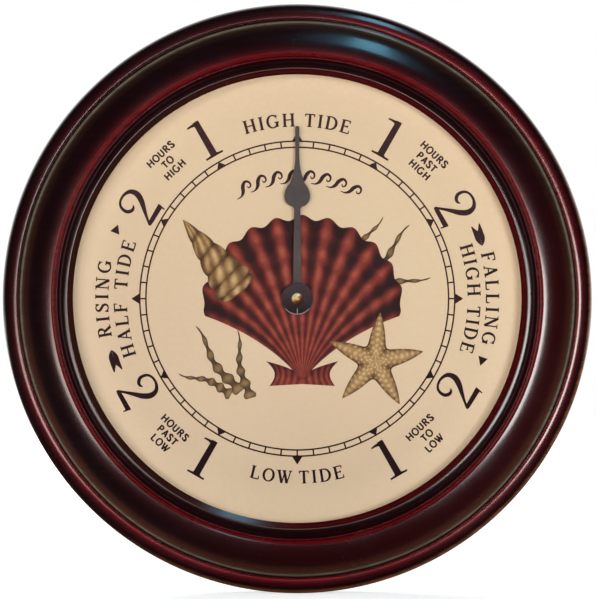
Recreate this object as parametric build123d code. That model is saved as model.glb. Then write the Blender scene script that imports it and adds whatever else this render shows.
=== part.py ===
from build123d import *
import math
import os

# Round wall tide clock. Sizes are in millimetres.
# The row frame has +Z up and the dial facing -Y, with the wall at Y = 0.
# Each piece is drawn with its depth along +Z, counted from the wall to the front,
# and is turned to face -Y when it is written.

# Frame moulding: widths from its outer edge in to the lip, and how far each part
# stands up from the one before it, counted from the lip out
outer_radius = 177.8
outer_bead_round = 8.6
outer_bead_width = 0.8
step_width = 1.0
arris_width = 1.4
band_width = 19.0
band_shoulder_width = 1.8
valley_width = 0.6
valley_side_width = 0.4
inner_bead_width = 6.0
lip_width = 3.6
lip_wall = 1.0
lip_slope = 2.0
inner_bead_fall = 2.0
inner_bead_rise = 0.5
valley_side_fall = 0.4
valley_climb = 0.8
band_climb = 6.6
band_shoulder_rise = 0.4
band_fall = 10.4
band_rise = 2.3
arris_fall = 0.4
step_fall = 1.6
outer_bead_climb = 1.0
outer_bead_inner_rise = 0.1
back_edge_chamfer = 2.0

# Rebates in the frame and what they hold
glass_thickness = 2.0
glass_cover = 6.4
spacer_wall = 3.4
glass_clearance = 1.5
dial_thickness = 0.6
board_thickness = 3.0
board_ledge = 10.0
rebate_gap = 0.3
board_screw_inset = 4.8
board_screw_count = 8
board_screw_head_radius = 3.2
board_screw_head_height = 1.5
board_screw_radius = 1.5
board_screw_length = 9.0
screw_hole_gap = 0.1

# Keyhole hanger let into the top of the frame's back
hanger_width = 44.0
hanger_height = 18.0
hanger_thickness = 1.4
hanger_corner = 4.0
hanger_gap = 0.2
hanger_drop = 0.4
keyhole_radius = 4.6
keyslot_radius = 2.4
keyslot_length = 6.0
keyhole_pocket_depth = 9.0
keyhole_pocket_margin = 2.0
hanger_screw_inset = 5.0
hanger_screw_head_radius = 2.6
hanger_screw_radius = 1.2
hanger_screw_length = 7.0

# Movement case
wall_clearance = 0.6
case_corner = 4.0
case_wall = 1.4
case_split_depth = 8.4
back_plate_thickness = 1.2
seal_thickness = 0.8
seal_radius = 12.0

# Centre post, its clamping nut and washers
post_radius = 3.9
post_bore_radius = 2.7
post_flange_radius = 6.0
post_length = 7.6
post_hole_gap = 0.3
washer_radius = 7.0
washer_thickness = 0.4
nut_across_flats = 11.0
nut_height = 2.2
nut_bore_gap = 0.05

# Gear train: one layer for each wheel, counted from the case front towards the wall
wheel_thickness = 0.8
layer_pitch = 1.4
front_end_gap = 0.6
pinion_overhang = 0.2
tide_teeth = 40
motion_pinion_teeth = 10
tide_module = 0.39
motion_teeth = 59
cannon_teeth = 19
knob_teeth = 24
centre_teeth = 64
third_teeth = 60
fifth_teeth = 48
fourth_teeth = 40
pinion_teeth = 8
fine_module = 0.25
fourth_module = 0.30
motion_angle = 150.0
knob_angle = 150.0
third_angle = 40.0
fourth_angle = 90.0
fifth_angle = 160.0
rotor_angle = 180.0
tip_share = 0.72
root_share = 1.15
tip_width_share = 0.17
root_width_share = 0.42
arbor_radius = 0.4
arbor_gap = 0.05
pivot_depth = 0.8
hub_radius = 0.62
centre_arbor_radius = 0.6
cannon_boss_radius = 1.0
centre_bore_gap = 0.06
centre_collar_radius = 1.6
centre_collar_height = 0.3
tide_tube_radius = 2.6
tide_tube_bore_radius = 1.55
tide_pivot_bore_radius = 0.66
tide_flange_radius = 3.8
tide_flange_height = 0.4
clutch_radius = 2.6
clutch_thickness = 0.3
clutch_gap = 0.04
clutch_leg_width = 1.2
clutch_legs = 3
wheel_windows = 4
window_inner_share = 0.36
window_outer_share = 0.76
window_arm_share = 0.45

# Train bridge, its pillars and screws
bridge_thickness = 1.0
bridge_gap = 0.6
bridge_side_gap = 1.2
bridge_bay_gap = 0.4
bridge_top_gap = 4.0
bridge_board_gap = 1.6
bridge_corner = 2.2
pillar_radius = 1.6
pillar_inset = 2.4
pillar_screw_radius = 0.7
pillar_screw_head_radius = 1.35
pillar_screw_head_height = 0.7
pillar_screw_length = 4.5
knob_shaft_gap = 0.4

# Stepping motor
magnet_radius = 3.0
magnet_height = 2.6
magnet_drop = 4.2
magnet_sleeve_radius = 0.9
stator_thickness = 0.8
stator_gap = 0.45
stator_width = 11.6
stator_drop = 3.95
core_thickness = 0.6
core_width = 3.0
core_length = 19.2
bobbin_length = 12.4
bobbin_flange_radius = 2.6
bobbin_flange_thickness = 0.6
bobbin_wall = 0.35
bobbin_gap = 0.3
bobbin_stator_gap = 0.4
bobbin_wall_gap = 0.3
winding_radius = 2.35
motor_screw_radius = 0.6
motor_screw_head_radius = 1.2
motor_screw_head_height = 0.7
motor_pillar_radius = 1.5

# Circuit board and its parts
circuit_thickness = 1.0
circuit_width = 8.4
circuit_side_gap = 0.8
circuit_bay_gap = 0.6
circuit_top_gap = 2.6
circuit_standoff = 1.0
circuit_peg_radius = 1.2
circuit_peg_inset = 3.0
chip_radius = 2.6
chip_height = 1.1
chip_place_share = 0.62
crystal_radius = 1.0
crystal_length = 6.2
crystal_place_share = 0.3

# Cell, its bay and contacts
cell_radius = 7.1
cell_body_length = 49.2
cell_nub_length = 1.2
cell_nub_radius = 2.7
cell_edge = 0.5
cell_sink = 0.7
bay_gap = 0.3
bay_wall = 1.0
bay_train_gap = 2.62
contact_thickness = 0.4
contact_width = 9.0
contact_touch_gap = 0.12
contact_dimple_radius = 2.4
contact_dimple_height = 0.88
contact_strip_width = 1.6
contact_notch = 1.0

# Setting knob
knob_radius = 6.0
knob_height = 3.0
knob_back_gap = 0.2
knob_shaft_radius = 1.0
knob_flutes = 16
knob_flute_radius = 0.55
recess_gap = 0.8
recess_wall = 0.9
recess_floor = 0.9
knob_floor_gap = 0.25

# Tide hand, its collet and the centre button
hand_tip_gap = 30.6
hand_thickness = 0.6
hub_disc_radius = 9.6
hub_dome_rise = 0.5
hub_rim = 0.25
hub_slit_width = 0.5
hub_slit_depth = 0.2
stem_hub_half = 2.5
stem_top_half = 1.9
spade_neck_half = 4.2
spade_neck_length = 2.2
spade_half = 7.8
spade_base_length = 5.6
spade_shoulder_half = 4.6
spade_crown_length = 8.0
taper_half = 1.2
taper_length = 16.6
tip_half = 1.3
tip_length = 18.0
stem_fillet = 2.6
collet_flange_radius = 4.6
collet_flange_height = 0.6
collet_neck_radius = 3.3
collet_post_gap = 0.3
fit_gap = 0.02
button_radius = 3.5
button_rim = 0.5
button_rise = 1.6
button_stem_radius = 1.5
button_stem_length = 3.6

# Overrun that carries a cut past a face
overrun = 1.0

# Middle of a quarter circle off its chord, as a share of its radius
quarter_rise_share = 1 - math.sqrt(1 / 2)

# Movement case, as deep and as wide inside as its cell and contacts need
case_depth = case_wall + bay_gap + 2 * cell_radius + cell_sink
cell_half = (cell_body_length + cell_nub_length) / 2
case_inner_half = cell_half + contact_touch_gap + contact_dimple_height + contact_thickness
case_half = case_inner_half + case_wall

# Depths from the wall
case_back = wall_clearance
case_front = case_back + case_depth
case_inner_front = case_front - case_wall
case_inner_back = case_back + back_plate_thickness
board_back = case_front + seal_thickness
board_front = board_back + board_thickness
dial_front = board_front + dial_thickness
washer_front = dial_front + washer_thickness
post_end = case_front + post_length
hand_back = post_end + collet_post_gap + collet_flange_height
hand_front = hand_back + hand_thickness
button_rim_front = hand_front + hub_dome_rise + button_rim
button_front = button_rim_front + button_rise
glass_back = button_front + glass_clearance
glass_front = glass_back + glass_thickness
knob_back = case_back + knob_back_gap
knob_front = knob_back + knob_height
recess_floor_back = knob_front + knob_floor_gap

# Corners of the moulding's section, as radius and depth
outer_bead_crest = outer_radius - outer_bead_round
step_radius = outer_bead_crest - outer_bead_width
arris_end = step_radius - step_width
band_end = arris_end - arris_width
band_crest_radius = band_end - band_width
band_start = band_crest_radius - band_shoulder_width
valley_radius = band_start - valley_width
inner_bead_end = valley_radius - valley_side_width
lip_arris_radius = inner_bead_end - inner_bead_width
lip_radius = lip_arris_radius - lip_width
lip_height = glass_front + lip_wall
lip_arris_height = lip_height + lip_slope
inner_bead_height = lip_arris_height - inner_bead_fall
valley_height = inner_bead_height - valley_side_fall
band_start_height = valley_height + valley_climb
band_crest_height = band_start_height + band_climb
band_end_height = band_crest_height - band_fall
arris_height = band_end_height - arris_fall
step_height = arris_height - step_fall
outer_bead_height = step_height + outer_bead_climb

# Radii of what the frame holds
glass_radius = lip_radius + glass_cover
board_radius = glass_radius + board_ledge
board_screw_circle = board_radius - board_screw_inset
hanger_place = (board_radius + outer_radius) / 2 - hanger_drop
hanger_screw_places = [
    (hanger_screw_inset - hanger_width / 2, hanger_place),
    (hanger_width / 2 - hanger_screw_inset, hanger_place),
]


def layer_low(layer):
    """Depth of the wall side of the wheel in a layer, counted from 1 at the case front."""
    return case_inner_front - front_end_gap - wheel_thickness - (layer - 1) * layer_pitch


def from_place(place, distance, angle):
    """The point at a distance and an angle in degrees from another point."""
    turn = math.radians(angle)
    return (place[0] + distance * math.cos(turn), place[1] + distance * math.sin(turn))


def mesh_distance(teeth, other_teeth, module):
    """Distance between the centres of two wheels in mesh."""
    return module * (teeth + other_teeth) / 2


centre_place = (0, 0)
motion_place = from_place(
    centre_place, mesh_distance(tide_teeth, motion_pinion_teeth, tide_module), motion_angle)
knob_place = from_place(
    motion_place, mesh_distance(motion_teeth, knob_teeth, fine_module), knob_angle)
third_place = from_place(
    centre_place, mesh_distance(centre_teeth, pinion_teeth, fine_module), third_angle)
fourth_place = from_place(
    third_place, mesh_distance(third_teeth, pinion_teeth, fine_module), fourth_angle)
fifth_place = from_place(
    fourth_place, mesh_distance(fourth_teeth, pinion_teeth, fourth_module), fifth_angle)
rotor_place = from_place(
    fifth_place, mesh_distance(fifth_teeth, pinion_teeth, fine_module), rotor_angle)

# Motor, with its coil above the rotor
magnet_middle = case_inner_front - magnet_drop
stator_back = magnet_middle - stator_thickness / 2
stator_front = stator_back + stator_thickness
stator_shoulder = rotor_place[1] + stator_drop
core_front = stator_front + core_thickness
core_middle = stator_front + core_thickness / 2
core_left = rotor_place[0] - core_length / 2
core_right = rotor_place[0] + core_length / 2
core_height = stator_shoulder + bobbin_stator_gap + bobbin_flange_radius
core_screw_places = [
    (core_left + motor_pillar_radius, core_height),
    (core_right - motor_pillar_radius, core_height),
]

# Cell bay under the train, and the heights of the case that holds both
centre_tip_radius = fine_module * (centre_teeth / 2 + tip_share)
partition_top = -centre_tip_radius - bay_train_gap
bay_top = partition_top - bay_wall
cell_place = bay_top - bay_gap - cell_radius
cell_depth = case_inner_front - bay_gap - cell_radius
case_inner_low = cell_place - cell_radius - bay_gap
case_inner_high = core_height + bobbin_flange_radius + bobbin_wall_gap
case_low = case_inner_low - case_wall
case_high = case_inner_high + case_wall

# Circuit board
circuit_right = case_inner_half - circuit_side_gap
circuit_left = circuit_right - circuit_width
circuit_low = partition_top + circuit_bay_gap
circuit_high = case_inner_high - circuit_top_gap
circuit_middle = (circuit_left + circuit_right) / 2
circuit_front = case_inner_front - circuit_standoff
circuit_back = circuit_front - circuit_thickness
circuit_peg_places = [
    (circuit_middle, circuit_low + circuit_peg_inset),
    (circuit_middle, circuit_high - circuit_peg_inset),
]

# Bridge with its pillars
bridge_front = layer_low(6) - bridge_gap
bridge_back = bridge_front - bridge_thickness
bridge_left = -case_inner_half + bridge_side_gap
bridge_right = circuit_left - bridge_board_gap
bridge_low = partition_top + bridge_bay_gap
bridge_high = case_inner_high - bridge_top_gap
pillar_places = [
    (bridge_left + pillar_inset, bridge_low + pillar_inset),
    (bridge_right - pillar_inset, bridge_low + pillar_inset),
    (bridge_left + pillar_inset, bridge_high - pillar_inset),
    (bridge_right - pillar_inset, bridge_high - pillar_inset),
]

# Hand, from its tip down to its stem
hand_length = lip_radius - hand_tip_gap
taper_start = hand_length - tip_length
spade_shoulder = taper_start - taper_length
spade_widest = spade_shoulder - spade_crown_length
spade_neck = spade_widest - spade_base_length
stem_top = spade_neck - spade_neck_length


def drum(radius, low, high, place=(0, 0)):
    """A round solid between two depths."""
    base = Pos(place[0], place[1], low)
    return base * Cylinder(radius, high - low, align=(Align.CENTER, Align.CENTER, Align.MIN))


def tube(radius, bore, low, high, place=(0, 0)):
    """A round solid with a bore through it."""
    return drum(radius, low, high, place) - drum(bore, low - overrun, high + overrun, place)


def slab(left, right, bottom, top, low, high, corner=0):
    """A flat block between two depths, with its upright edges rounded if a corner is given."""
    width, height = right - left, top - bottom
    face = RectangleRounded(width, height, corner) if corner else Rectangle(width, height)
    return extrude(Pos((left + right) / 2, (bottom + top) / 2, low) * face, high - low)


def turned(outline):
    """Turns a closed outline of edges, drawn as radius and depth, about the clock's centre."""
    return revolve(make_face(Plane.XZ * Curve(outline)), Axis.Z)


def bulge(start, end, rise):
    """An arc between two points whose middle stands off its chord, to the left when positive."""
    middle = ((start[0] + end[0]) / 2, (start[1] + end[1]) / 2)
    along = Vector(end[0] - start[0], end[1] - start[1]).normalized()
    return ThreePointArc(start, (middle[0] - along.Y * rise, middle[1] + along.X * rise), end)


def dome(radius, low, high):
    """The arc of a dome's section, from its edge up to its crown, centred on the axis."""
    ball = (radius * radius + (high - low) ** 2) / (2 * (high - low))
    half = radius / 2
    return ThreePointArc((radius, low), (half, high - ball + math.sqrt(ball * ball - half * half)), (0, high))


# Frame


def frame_outline():
    """The moulding's section, from the lip out over the band and the bead to the back."""
    lip = (lip_radius, lip_height)
    lip_arris = (lip_arris_radius, lip_arris_height)
    bead_end = (inner_bead_end, inner_bead_height)
    valley = (valley_radius, valley_height)
    band_foot = (band_start, band_start_height)
    crest = (band_crest_radius, band_crest_height)
    band_toe = (band_end, band_end_height)
    arris = (arris_end, arris_height)
    step = (step_radius, step_height)
    bead_crest = (outer_bead_crest, outer_bead_height)
    round_over = outer_radius - outer_bead_crest
    side = (outer_radius, outer_bead_height - round_over)
    corners = [
        (outer_radius, back_edge_chamfer),
        (outer_radius - back_edge_chamfer, 0),
        (board_radius + rebate_gap, 0),
        (board_radius + rebate_gap, board_front),
        (glass_radius + rebate_gap, board_front),
        (glass_radius + rebate_gap, glass_front),
        (lip_radius, glass_front),
        lip,
    ]
    front = [
        Line(lip, lip_arris),
        bulge(lip_arris, bead_end, inner_bead_rise),
        Line(bead_end, valley),
        Line(valley, band_foot),
        bulge(band_foot, crest, band_shoulder_rise),
        bulge(crest, band_toe, band_rise),
        Line(band_toe, arris),
        Line(arris, step),
        bulge(step, bead_crest, outer_bead_inner_rise),
        bulge(bead_crest, side, round_over * quarter_rise_share),
    ]
    rest = [Line(a, b) for a, b in zip([side] + corners, corners)]
    return front + rest


def keyhole(low, high, margin=0):
    """The hanger's keyhole: a round mouth with a slot above it, widened by a margin."""
    mouth = Circle(keyhole_radius + margin)
    slot = Pos(0, keyslot_length / 2) * Rectangle(2 * (keyslot_radius + margin), keyslot_length)
    end = Pos(0, keyslot_length) * Circle(keyslot_radius + margin)
    return extrude(Pos(0, hanger_place - keyslot_length / 2, low) * (mouth + slot + end), high - low)


def frame_ring():
    """The turned ring, with a mortise for the hanger and a pocket for the head of the wall screw."""
    ring = turned(frame_outline())
    half_width, half_height = hanger_width / 2, hanger_height / 2
    mortise = slab(
        -half_width - hanger_gap, half_width + hanger_gap,
        hanger_place - half_height - hanger_gap, hanger_place + half_height + hanger_gap,
        -overrun, hanger_thickness, hanger_corner + hanger_gap)
    pocket = keyhole(0, keyhole_pocket_depth, keyhole_pocket_margin)
    ring -= mortise + pocket
    for place in screw_circle():
        ring -= drum(board_screw_radius, board_front - overrun, board_screw_tip() + screw_hole_gap, place)
    for place in hanger_screw_places:
        ring -= drum(hanger_screw_radius, 0, hanger_screw_length + screw_hole_gap, place)
    return ring


def screw_circle():
    """Places of the screws that hold the backing board in the frame."""
    step = 360 / board_screw_count
    return [from_place(centre_place, board_screw_circle, step * (n + 1 / 2)) for n in range(board_screw_count)]


def board_screw_tip():
    """Depth that the board screws reach in the wood."""
    return board_back + board_screw_length


def pan_screw(place, seat, head_radius, head_height, radius, length):
    """A screw driven towards the front, with its rounded head on the wall side of its seat."""
    head = drum(head_radius, seat - head_height, seat, place)
    head = chamfer(head.edges().group_by(Axis.Z)[0], head_height / 2)
    return head + drum(radius, seat, seat + length, place)


def board_screws():
    """The screws through the board's edge into the frame."""
    return Compound([
        pan_screw(place, board_back, board_screw_head_radius, board_screw_head_height,
                  board_screw_radius, board_screw_length)
        for place in screw_circle()])


def hanger_plate():
    """The steel keyhole plate, flush with the frame's back."""
    half_width, half_height = hanger_width / 2, hanger_height / 2
    plate = slab(
        -half_width, half_width, hanger_place - half_height, hanger_place + half_height,
        0, hanger_thickness, hanger_corner)
    plate -= keyhole(-overrun, hanger_thickness + overrun)
    for place in hanger_screw_places:
        plate -= hanger_screw(place, screw_hole_gap)
    return plate


def hanger_screw(place, gap=0):
    """A countersunk wood screw, level with the plate's back; a gap widens it to cut its hole."""
    head = Cone(
        hanger_screw_head_radius + gap, hanger_screw_radius + gap, hanger_thickness,
        align=(Align.CENTER, Align.CENTER, Align.MIN))
    screw = Pos(place[0], place[1], 0) * head
    return screw + drum(hanger_screw_radius + gap, hanger_thickness, hanger_screw_length, place)


def hanger_screws():
    """The two screws of the hanger plate."""
    return Compound([hanger_screw(place) for place in hanger_screw_places])


def glass_crystal():
    """The flat glass under the frame's lip."""
    return drum(glass_radius, glass_back, glass_front)


def spacer_ring():
    """The ring that keeps the glass off the dial."""
    return tube(glass_radius, glass_radius - spacer_wall, dial_front, glass_back)


def dial_plate():
    """The printed dial, with the hole for the centre post."""
    return tube(glass_radius, post_radius + post_hole_gap, board_front, dial_front)


def backing_board():
    """The board that the movement is clamped to, with holes for its screws."""
    board = tube(board_radius, post_radius + post_hole_gap, board_back, board_front)
    for place in screw_circle():
        board -= drum(board_screw_radius + screw_hole_gap, board_back - overrun, board_front + overrun, place)
    return board


# Gears


def gear_outline(teeth, module, phase):
    """Points of a wheel whose teeth are straight-sided and thin, with one tooth at the phase angle."""
    pitch_radius = module * teeth / 2
    pitch_angle = 360 / teeth
    tip_radius = pitch_radius + tip_share * module
    root_radius = pitch_radius - root_share * module
    root_turn = root_width_share * pitch_angle * pitch_radius / root_radius / 2
    tip_turn = tip_width_share * pitch_angle * pitch_radius / tip_radius / 2
    corners = [
        (root_radius, -root_turn), (tip_radius, -tip_turn), (tip_radius, tip_turn), (root_radius, root_turn)]
    return [
        from_place(centre_place, radius, phase + tooth * pitch_angle + turn)
        for tooth in range(teeth) for radius, turn in corners]


def gear(teeth, module, phase, low, high, place):
    """A toothed wheel between two depths."""
    face = make_face(Polyline(*gear_outline(teeth, module, phase), close=True))
    return extrude(Pos(place[0], place[1], low) * face, high - low)


def mesh_phase(phase, teeth, other_teeth, line_angle):
    """Phase of a wheel whose gap meets a tooth of the wheel that it is in mesh with."""
    turned_back = (phase - line_angle) * teeth / other_teeth
    return line_angle + 180 - turned_back - 180 / other_teeth


def arbor(low, high, place, radius=arbor_radius):
    """A wheel's axle, from the bridge to its blind hole in the case front."""
    return drum(radius, low, high, place)


def pinion(place, layer, module, phase, teeth=pinion_teeth):
    """A pinion as tall as the wheel that it meets, and a little over."""
    low = layer_low(layer) - pinion_overhang
    return gear(teeth, module, phase, low, low + wheel_thickness + 2 * pinion_overhang, place)


def wheel(place, layer, teeth, module, phase):
    """A wheel in its layer, with its boss and, in a large one, windows between its arms."""
    low = layer_low(layer)
    disc = gear(teeth, module, phase, low, low + wheel_thickness, place)
    pitch_radius = module * teeth / 2
    inner, outer = pitch_radius * window_inner_share, pitch_radius * window_outer_share
    step = 360 / wheel_windows
    window = Circle(outer) - Circle(inner)
    arm = step * window_arm_share
    corner_a = from_place(centre_place, 2 * outer, arm / 2)
    corner_b = from_place(centre_place, 2 * outer, step - arm / 2)
    corner_c = from_place(centre_place, 4 * outer, step / 2)
    sector = make_face(Polyline(centre_place, corner_a, corner_c, corner_b, close=True))
    pane = extrude(window & sector, wheel_thickness + 2 * overrun)
    for turn in range(wheel_windows):
        disc -= Pos(place[0], place[1], low - overrun) * Rot(0, 0, turn * step) * pane
    return disc


def train_wheel(place, wheel_layer, teeth, module, pinion_layer, pinion_module, pinion_phase):
    """A wheel, its pinion and the arbor that carries both."""
    low, high = layer_low(wheel_layer), layer_low(pinion_layer) - pinion_overhang
    body = wheel(place, wheel_layer, teeth, module, 0)
    body += pinion(place, pinion_layer, pinion_module, pinion_phase)
    body += drum(hub_radius, low, high, place)
    return body + arbor(bridge_back, case_inner_front + pivot_depth, place)


tide_phase = 0
motion_pinion_phase = mesh_phase(tide_phase, tide_teeth, motion_pinion_teeth, motion_angle)
cannon_phase = mesh_phase(0, motion_teeth, cannon_teeth, motion_angle + 180)
knob_phase = mesh_phase(0, motion_teeth, knob_teeth, knob_angle)
third_pinion_phase = mesh_phase(0, centre_teeth, pinion_teeth, third_angle)
fourth_pinion_phase = mesh_phase(0, third_teeth, pinion_teeth, fourth_angle)
fifth_pinion_phase = mesh_phase(0, fourth_teeth, pinion_teeth, fifth_angle)
rotor_pinion_phase = mesh_phase(0, fifth_teeth, pinion_teeth, rotor_angle)


def tide_wheel():
    """The wheel and tube that carry the hand through the centre post."""
    low = layer_low(1)
    top = low + wheel_thickness
    body = gear(tide_teeth, tide_module, tide_phase, low, top, centre_place)
    body += drum(tide_flange_radius, top, top + tide_flange_height)
    body += drum(tide_tube_radius, top, tide_tube_end())
    body -= drum(tide_pivot_bore_radius, low - overrun, tide_tube_end() + overrun)
    return body - drum(tide_tube_bore_radius, button_stem_foot(), tide_tube_end() + overrun)


def tide_tube_end():
    """Depth of the tube's front end, just inside the hand."""
    return hand_front - button_rim / 2


def button_stem_foot():
    """Depth of the counterbore that takes the button's stem."""
    return hand_front - button_stem_length - clutch_gap


def motion_wheel():
    """The reducing wheel between the centre arbor and the tide wheel."""
    body = wheel(motion_place, 2, motion_teeth, fine_module, 0)
    body += pinion(motion_place, 1, tide_module, motion_pinion_phase, motion_pinion_teeth)
    return body + arbor(bridge_back, case_inner_front + pivot_depth, motion_place)


def centre_arbor():
    """The centre arbor with its cannon pinion and the boss that the centre drive wheel turns on."""
    low = layer_low(2)
    drive_low = layer_low(3)
    body = gear(cannon_teeth, fine_module, cannon_phase, low, low + wheel_thickness, centre_place)
    body += drum(cannon_boss_radius, drive_low - clutch_gap, low)
    body += drum(centre_collar_radius, drive_low - clutch_gap - centre_collar_height, drive_low - clutch_gap)
    return body + arbor(bridge_back, button_stem_foot() - clutch_gap, centre_place, centre_arbor_radius)


def clutch_spring():
    """The three-legged friction spring between the cannon pinion and the centre drive wheel."""
    top = layer_low(2)
    foot = layer_low(3) + wheel_thickness + clutch_gap
    ring = tube(cannon_boss_radius * 2, cannon_boss_radius + fit_gap, top - clutch_thickness, top)
    step = 360 / clutch_legs
    for turn in range(clutch_legs):
        leg = slab(0, clutch_radius, -clutch_leg_width / 2, clutch_leg_width / 2, foot, top)
        leg -= drum(cannon_boss_radius * 2 - fit_gap, foot - overrun, top + overrun)
        ring += Rot(0, 0, turn * step) * leg
    return ring


def centre_drive_wheel():
    """The hour-driven wheel, turning on the centre arbor's boss through the friction spring."""
    body = wheel(centre_place, 3, centre_teeth, fine_module, 0)
    low = layer_low(3)
    return body - drum(cannon_boss_radius + centre_bore_gap, low - overrun, low + wheel_thickness + overrun)


def third_wheel():
    """Third wheel and pinion."""
    return train_wheel(third_place, 4, third_teeth, fine_module, 3, fine_module, third_pinion_phase)


def fourth_wheel():
    """Fourth wheel and pinion, one turn a minute."""
    return train_wheel(fourth_place, 5, fourth_teeth, fourth_module, 4, fine_module, fourth_pinion_phase)


def fifth_wheel():
    """Fifth wheel and pinion, between the rotor and the fourth wheel."""
    return train_wheel(fifth_place, 6, fifth_teeth, fine_module, 5, fourth_module, fifth_pinion_phase)


def rotor():
    """The motor's rotor: a round magnet on an arbor with the first pinion."""
    low = magnet_middle - magnet_height / 2
    body = pinion(rotor_place, 6, fine_module, rotor_pinion_phase)
    body += drum(magnet_sleeve_radius, layer_low(6) + wheel_thickness + pinion_overhang, low, rotor_place)
    body += drum(magnet_radius, low, low + magnet_height, rotor_place)
    return body + arbor(bridge_back, case_inner_front + pivot_depth, rotor_place)


# Movement case


def case_shell(low, high, wall_low, wall_high):
    """The case's outer walls between two depths, open inside between the wall depths."""
    outer = slab(-case_half, case_half, case_low, case_high, low, high, case_corner)
    inner = slab(
        -case_inner_half, case_inner_half, case_inner_low, case_inner_high,
        wall_low, wall_high, case_corner - case_wall)
    return outer - inner


def movement_front_case():
    """The front half: its plate holds the front bearings, the pillars and the board's pegs."""
    split = case_back + case_split_depth
    case = case_shell(split, case_front, split - overrun, case_inner_front)
    case -= drum(post_radius, case_inner_front - overrun, case_front + overrun)
    for place in pillar_places:
        case += drum(pillar_radius, bridge_front, case_inner_front, place)
        case -= drum(pillar_screw_radius, bridge_front - overrun,
                     bridge_back + pillar_screw_length + screw_hole_gap, place)
    for place in core_screw_places:
        case += drum(motor_pillar_radius, core_front, case_inner_front, place)
        case -= drum(motor_screw_radius, core_front - overrun, case_inner_front, place)
    for place in circuit_peg_places:
        case += drum(circuit_peg_radius, circuit_front, case_inner_front, place)
    for place in (motion_place, third_place, fourth_place, fifth_place, rotor_place):
        case -= drum(arbor_radius + arbor_gap, case_inner_front - overrun,
                     case_inner_front + pivot_depth + arbor_gap, place)
    return case


def movement_back_case():
    """The back half: a cover over the train with the knob's recess, and the open bay for the cell."""
    split = case_back + case_split_depth
    case = case_shell(case_back, split, case_inner_back, split + overrun)
    partition = slab(
        -case_inner_half + contact_notch, case_inner_half - contact_notch, bay_top, partition_top,
        case_back, case_inner_front - bay_gap)
    bay = slab(
        -case_inner_half, case_inner_half, case_inner_low, bay_top,
        case_back - overrun, case_inner_back + overrun)
    case = case - bay + partition
    outer = knob_radius + recess_gap
    case += drum(outer + recess_wall, case_back, recess_floor_back + recess_floor, knob_place) & slab(
        -case_inner_half - fit_gap, case_half, bay_top, case_high, case_back, case_front)
    case -= drum(outer, case_back - overrun, recess_floor_back, knob_place)
    return case - drum(knob_shaft_radius + arbor_gap, case_back, case_front, knob_place)


def centre_post():
    """The threaded bush that the nut clamps, with its flange on the case front."""
    post = drum(post_radius, case_inner_front, post_end)
    post += drum(post_flange_radius, case_front, case_front + seal_thickness)
    return post - drum(post_bore_radius, case_inner_front - overrun, post_end + overrun)


def rubber_washer():
    """The soft washer between the case and the board."""
    return tube(seal_radius, post_flange_radius + fit_gap, case_front, board_back)


def brass_washer():
    """The washer under the nut."""
    return tube(washer_radius, post_radius + nut_bore_gap, dial_front, washer_front)


def mounting_nut():
    """The hexagon nut that clamps dial, board and movement together."""
    corner_radius = nut_across_flats / math.sqrt(3)
    nut = extrude(Pos(0, 0, washer_front) * RegularPolygon(corner_radius, 6), nut_height)
    return nut - drum(post_radius + nut_bore_gap, washer_front - overrun, washer_front + nut_height + overrun)


def train_bridge():
    """The plate behind the train, with a bearing for every arbor."""
    plate = slab(bridge_left, bridge_right, bridge_low, bridge_high, bridge_back, bridge_front, bridge_corner)
    for place in (motion_place, third_place, fourth_place, fifth_place, rotor_place):
        plate -= drum(arbor_radius + arbor_gap, bridge_back - overrun, bridge_front + overrun, place)
    plate -= drum(centre_arbor_radius + arbor_gap, bridge_back - overrun, bridge_front + overrun)
    plate -= drum(knob_shaft_radius + knob_shaft_gap, bridge_back - overrun, bridge_front + overrun, knob_place)
    for place in pillar_places:
        plate -= drum(pillar_screw_radius + screw_hole_gap, bridge_back - overrun, bridge_front + overrun, place)
    return plate


def bridge_screws():
    """The four screws of the train bridge."""
    return Compound([
        pan_screw(place, bridge_back, pillar_screw_head_radius, pillar_screw_head_height,
                  pillar_screw_radius, pillar_screw_length)
        for place in pillar_places])


def stator_plate():
    """The soft-iron plate round the magnet, with an arm up to each end of the coil's core."""
    middle, height = rotor_place
    low = height - stator_drop
    left, right = middle - stator_width / 2, middle + stator_width / 2
    top = core_height + core_width / 2
    notch_half = bobbin_length / 2 + bobbin_gap
    shape = Polyline(
        (left, low), (right, low), (right, height),
        (core_right, core_height - core_width / 2), (core_right, top),
        (middle + notch_half, top), (middle + notch_half, stator_shoulder),
        (middle - notch_half, stator_shoulder), (middle - notch_half, top),
        (core_left, top), (core_left, core_height - core_width / 2), (left, height), close=True)
    plate = extrude(Pos(0, 0, stator_back) * make_face(shape), stator_thickness)
    plate -= drum(magnet_radius + stator_gap, stator_back - overrun, stator_front + overrun, rotor_place)
    for place in core_screw_places:
        plate -= drum(motor_screw_radius + screw_hole_gap, stator_back - overrun, stator_front + overrun, place)
    return plate


def coil_core():
    """The flat iron core through the coil, on the stator's two arms."""
    half = core_width / 2
    core = slab(core_left, core_right, core_height - half, core_height + half, stator_front, core_front)
    for place in core_screw_places:
        core -= drum(motor_screw_radius + screw_hole_gap, stator_front - overrun, core_front + overrun, place)
    return core


def along_coil(radius, length, hole=0):
    """A round solid on the coil's axis, centred on the core, with an optional bore."""
    body = Cylinder(radius, length)
    if hole:
        body -= Cylinder(hole, length + 2 * overrun)
    return Pos(rotor_place[0], core_height, core_middle) * Rot(0, 90, 0) * body


def bobbin_tube_radius():
    """Outer radius of the bobbin's tube, round the corners of the core."""
    return math.hypot(core_width, core_thickness) / 2 + bobbin_wall


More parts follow.
